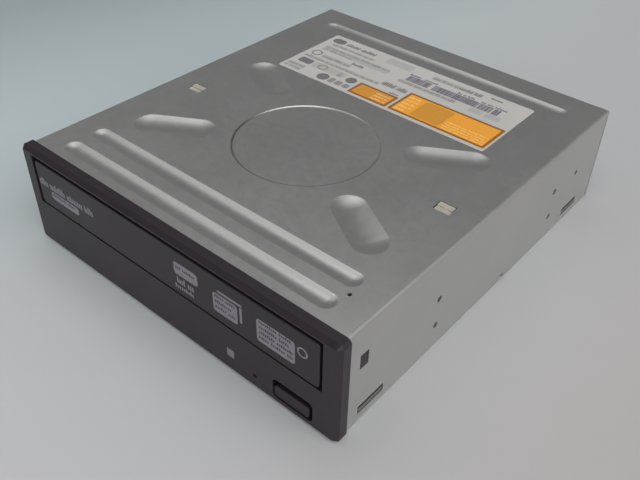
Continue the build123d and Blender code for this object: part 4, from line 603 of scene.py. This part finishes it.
class Sheet:
    """A flat place to print on. Its corner is the origin, and u and v are millimetres along it."""

    def __init__(self, corner, along, up, out):
        self.corner = Vector(corner)
        self.along = Vector(along)
        self.up = Vector(up)
        self.out = Vector(out)

    def point(self, u, v, height):
        """The place in the frame of a point at that height above the sheet."""
        return self.corner + MM * (self.along * u + self.up * v + self.out * height)

    def printed(self, name, shapes, material, body, slot, height_mm=INK_MM):
        """One piece made of flat shapes, each an outline and a hole of as many points, or None."""
        mesh = bmesh.new()
        for outline, hole in shapes:
            self.add_shape(mesh, outline, hole, height_mm)
        bmesh.ops.recalc_face_normals(mesh, faces=mesh.faces)
        data = bpy.data.meshes.new(name)
        mesh.to_mesh(data)
        mesh.free()
        data.materials.append(material)
        piece = bpy.data.objects.new(name, data)
        bpy.context.scene.collection.objects.link(piece)
        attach(piece, body)

    def add_shape(self, mesh, outline, hole, height_mm):
        """A thin closed solid from the sheet up to that height, with the hole cut through it."""
        rings = []
        for loop in [outline] + ([hole] if hole else []):
            for height in (0.0, height_mm):
                rings.append([mesh.verts.new(self.point(u, v, height)) for u, v in loop])
        for low, high in zip(rings[0::2], rings[1::2]):
            join_rings(mesh, low, high)
        if hole:
            join_rings(mesh, rings[0], rings[2])
            join_rings(mesh, rings[1], rings[3])
        else:
            mesh.faces.new(rings[0])
            mesh.faces.new(rings[1])


def join_rings(mesh, first, second):
    """A band of faces between two rings of as many points."""
    count = len(first)
    for index in range(count):
        after = (index + 1) % count
        mesh.faces.new((first[index], first[after], second[after], second[index]))


def rounded(left, low, right, high, radius):
    """A rectangle with round corners, as points that run anticlockwise."""
    radius = min(radius, (right - left) / 2, (high - low) / 2)
    centres = ((right - radius, high - radius), (left + radius, high - radius),
               (left + radius, low + radius), (right - radius, low + radius))
    points = []
    for quarter, (x, y) in enumerate(centres):
        for step in range(CORNER_STEPS + 1):
            angle = (quarter + step / CORNER_STEPS) * pi / 2
            points.append((x + radius * cos(angle), y + radius * sin(angle)))
    return points


def circle(x, y, radius):
    """A circle, as points that run anticlockwise."""
    angles = [2 * pi * step / CIRCLE_POINTS for step in range(CIRCLE_POINTS)]
    return [(x + radius * cos(angle), y + radius * sin(angle)) for angle in angles]


def bar(left, low, right, high, corner):
    """The shape of a rectangle with round corners."""
    return rounded(left, low, right, high, corner), None


def spot(x, y, radius):
    """The shape of a full circle."""
    return circle(x, y, radius), None


def ring(x, y, radius, stroke):
    """The shape of a ring, with its stroke inside that radius."""
    return circle(x, y, radius), circle(x, y, radius - stroke)


def inset(left, low, right, high, margin):
    """A field made smaller by the margin on each side."""
    return left + margin, low + margin, right - margin, high - margin


def panel_border(panel):
    """The shape of a panel's border."""
    inner = rounded(*inset(*panel, PANEL_EDGE), PANEL_CORNER)
    return rounded(*panel, PANEL_CORNER), inner


def text_row(chance, left, low, right, high, letter=SMALL_LETTER):
    """Narrow bars in groups of uneven length, in place of a line of print."""
    bars = []
    while left < right - letter:
        word_end = min(left + chance.randint(*WORD_LETTERS) * letter, right)
        while left < word_end:
            top = high if chance.random() < TALL_SHARE else low + SHORT_HEIGHT * (high - low)
            bars.append(bar(left, low, left + BAR_SHARE * letter, top, BAR_CORNER))
            left += letter
        left += letter
    return bars


def striped_block(chance, left, low, right, high):
    """Upright stripes of uneven width, in place of a code."""
    bars = []
    while left < right:
        end = min(left + chance.choice(STRIPE_WIDTHS), right)
        bars.append(bar(left, low, end, high, STRIPE_CORNER))
        left = end + chance.choice(STRIPE_GAPS)
    return bars


def print_layer(sheet, name, shapes, tone, height_mm=INK_MM):
    """One ink's print on the label, which moves with the case."""
    sheet.printed(name, shapes, ink(tone, LABEL_INK_ROUGHNESS), "chassis", "label_paper", height_mm)


def print_grey(sheet, chance):
    """Grey rows, small plain signs and rings on the label's left half and along its top."""
    marks = []
    for row in GREY_ROWS:
        marks += text_row(chance, *row)
    marks += [bar(*sign, SIGN_CORNER) for sign in GREY_SIGNS]
    marks += [ring(*values) for values in GREY_RINGS]
    print_layer(sheet, "label_grey_print", marks, "label_grey_ink", OVERPRINT_MM)


def print_dark(sheet, chance):
    """Dark plates, spots and rows of larger bars."""
    marks = [bar(*plate) for plate in DARK_PLATES]
    marks += [spot(*values) for values in DARK_SPOTS]
    for row in DARK_ROWS:
        marks += text_row(chance, *row, letter=DARK_LETTER)
    print_layer(sheet, "label_dark_print", marks, "label_dark_ink", OVERPRINT_MM)


def print_faint(sheet):
    """Faint fields, most of them under the rows."""
    fields = [bar(*field, SIGN_CORNER) for field in FAINT_FIELDS]
    print_layer(sheet, "label_faint_print", fields, "label_faint_ink")


def print_code(sheet, chance):
    """Blocks of dense stripes with a broken row above them."""
    marks = []
    low, high = CODE_HEIGHTS
    for left, right in CODE_BLOCKS:
        marks += striped_block(chance, left, low, right, high)
    low, high = CODE_WORD_HEIGHTS
    for left, right in CODE_WORDS:
        marks += text_row(chance, left, low, right, high, letter=CODE_LETTER)
    print_layer(sheet, "label_code_print", marks, "label_code_ink")


def print_panels(sheet):
    """Two orange panels with brown borders, and a block in another warm tone on each."""
    borders = [panel_border(panel) for panel in (SMALL_PANEL, LARGE_PANEL)]
    print_layer(sheet, "label_brown_borders", borders, "label_brown_ink")
    for panel, tone in ((SMALL_PANEL, "amber"), (LARGE_PANEL, "orange")):
        field = bar(*inset(*panel, PANEL_EDGE), PANEL_CORNER)
        print_layer(sheet, f"label_{tone}_field", [field], f"label_{tone}_ink")
    blocks = [bar(*plate) for plate in OCHRE_PLATES]
    print_layer(sheet, "label_ochre_blocks", blocks, "label_ochre_ink", OVERPRINT_MM)


def print_yellow(sheet, chance):
    """Groups of fine yellow rows on the panels."""
    rows = []
    for left, low, right, high, pitch, count in YELLOW_ROWS:
        for line in range(count):
            rise = pitch * line
            rows += text_row(chance, left, low + rise, right, high + rise)
    print_layer(sheet, "label_yellow_lines", rows, "label_yellow_ink", OVERPRINT_MM)


def print_label():
    """Generic print on the top label, in the colours and places of such labels."""
    low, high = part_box("top_label")
    sheet = Sheet((low.x, low.y, high.z), (1, 0, 0), (0, 1, 0), (0, 0, 1))
    chance = random.Random(LABEL_SEED)
    print_grey(sheet, chance)
    print_dark(sheet, chance)
    print_faint(sheet)
    print_code(sheet, chance)
    print_panels(sheet)
    print_yellow(sheet, chance)


def field_rows(chance, left, low, right, high):
    """Rows of bars that fill one of the door's fields."""
    count = max(1, round((high - low) / FIELD_ROW_PITCH) - 1)
    pitch = (high - low) / (count + FIELD_SPARE_SHARE)
    bars = []
    for row in range(count):
        base = low + (row + FIELD_FOOT_SHARE) * pitch
        ends = (left + FIELD_MARGIN, base, right - FIELD_MARGIN, base + FIELD_ROW_HEIGHT)
        bars += text_row(chance, *ends, letter=FIELD_LETTER)
    return bars


def print_door():
    """Plain pale marks on the tray door: round cornered fields with dark bars on them, and rows."""
    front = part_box("tray_door")[0].y
    sheet = Sheet((0, front, 0), (1, 0, 0), (0, 0, 1), (0, -1, 0))
    chance = random.Random(DOOR_SEED)
    pale = ink("door_pale_ink", DOOR_INK_ROUGHNESS)
    marks = [bar(*field, DOOR_FIELD_CORNER) for field in DOOR_FIELDS]
    marks += [bar(*strip, DOOR_STRIP_CORNER) for strip in DOOR_STRIPS]
    marks.append(ring(*DOOR_RING))
    for row in DOOR_ROWS:
        marks += text_row(chance, *row, letter=DOOR_LETTER)
    sheet.printed("door_marks", marks, pale, "tray", "panel_plastic")

    dark = ink("door_dark_ink", DOOR_INK_ROUGHNESS)
    bars = []
    for field in DOOR_FIELDS:
        bars += field_rows(chance, *field)
    sheet.printed("door_dark_bars", bars, dark, "tray", "panel_plastic", OVERPRINT_MM)


def make_floor():
    """The table that the drive stands on."""
    mesh = bmesh.new()
    corners = [(-FLOOR_HALF, -FLOOR_HALF, 0), (FLOOR_HALF, -FLOOR_HALF, 0),
               (FLOOR_HALF, FLOOR_HALF, 0), (-FLOOR_HALF, FLOOR_HALF, 0)]
    mesh.faces.new([mesh.verts.new(corner) for corner in corners])
    data = bpy.data.meshes.new("table")
    mesh.to_mesh(data)
    mesh.free()
    data.materials.append(floor_finish("table"))
    table = bpy.data.objects.new("table", data)
    bpy.context.scene.collection.objects.link(table)


def make_room():
    """Light from all round: pale walls near the table's level, a dimmer ceiling above them."""
    world = bpy.data.worlds.new("room")
    bpy.context.scene.world = world
    paint = Paint(world)
    way = paint.node("ShaderNodeTexCoord", output="Generated")
    height = paint.node("ShaderNodeSeparateXYZ", sockets={0: way}, output="Z")
    colour = paint.blend(paint.clamped(height / CEILING_RISE), (*WALLS, 1.0), (*CEILING, 1.0))
    light = paint.node("ShaderNodeBackground", sockets={"Color": colour, "Strength": 1.0})
    paint.node("ShaderNodeOutputWorld", sockets={"Surface": light})


def make_lamps():
    """Large soft lamps that all face the drive."""
    for name, (place, size, power, colour) in LAMPS.items():
        data = bpy.data.lights.new(name, "AREA")
        data.size = size
        data.energy = power
        data.color = colour
        lamp = bpy.data.objects.new(name, data)
        lamp.location = place
        lamp.rotation_mode = "QUATERNION"
        lamp.rotation_quaternion = (-Vector(place)).to_track_quat("-Z", "Y")
        bpy.context.scene.collection.objects.link(lamp)


def make_camera():
    """The camera, which looks down on the drive from its front right."""
    data = bpy.data.cameras.new("camera")
    data.lens = CAMERA_LENS_MM
    data.shift_x, data.shift_y = CAMERA_SHIFT
    data.clip_start = CAMERA_NEAR
    camera = bpy.data.objects.new("camera", data)
    camera.location = CAMERA_PLACE
    camera.rotation_mode = "QUATERNION"
    aimed = (CAMERA_AIM - CAMERA_PLACE).to_track_quat("-Z", "Y")
    camera.rotation_quaternion = aimed @ Quaternion((0, 0, 1), CAMERA_ROLL)
    bpy.context.scene.collection.objects.link(camera)
    bpy.context.scene.camera = camera


dress_nodes()
print_label()
print_door()
make_floor()
make_room()
make_lamps()
make_camera()
bpy.context.scene.view_settings.view_transform = "Standard"
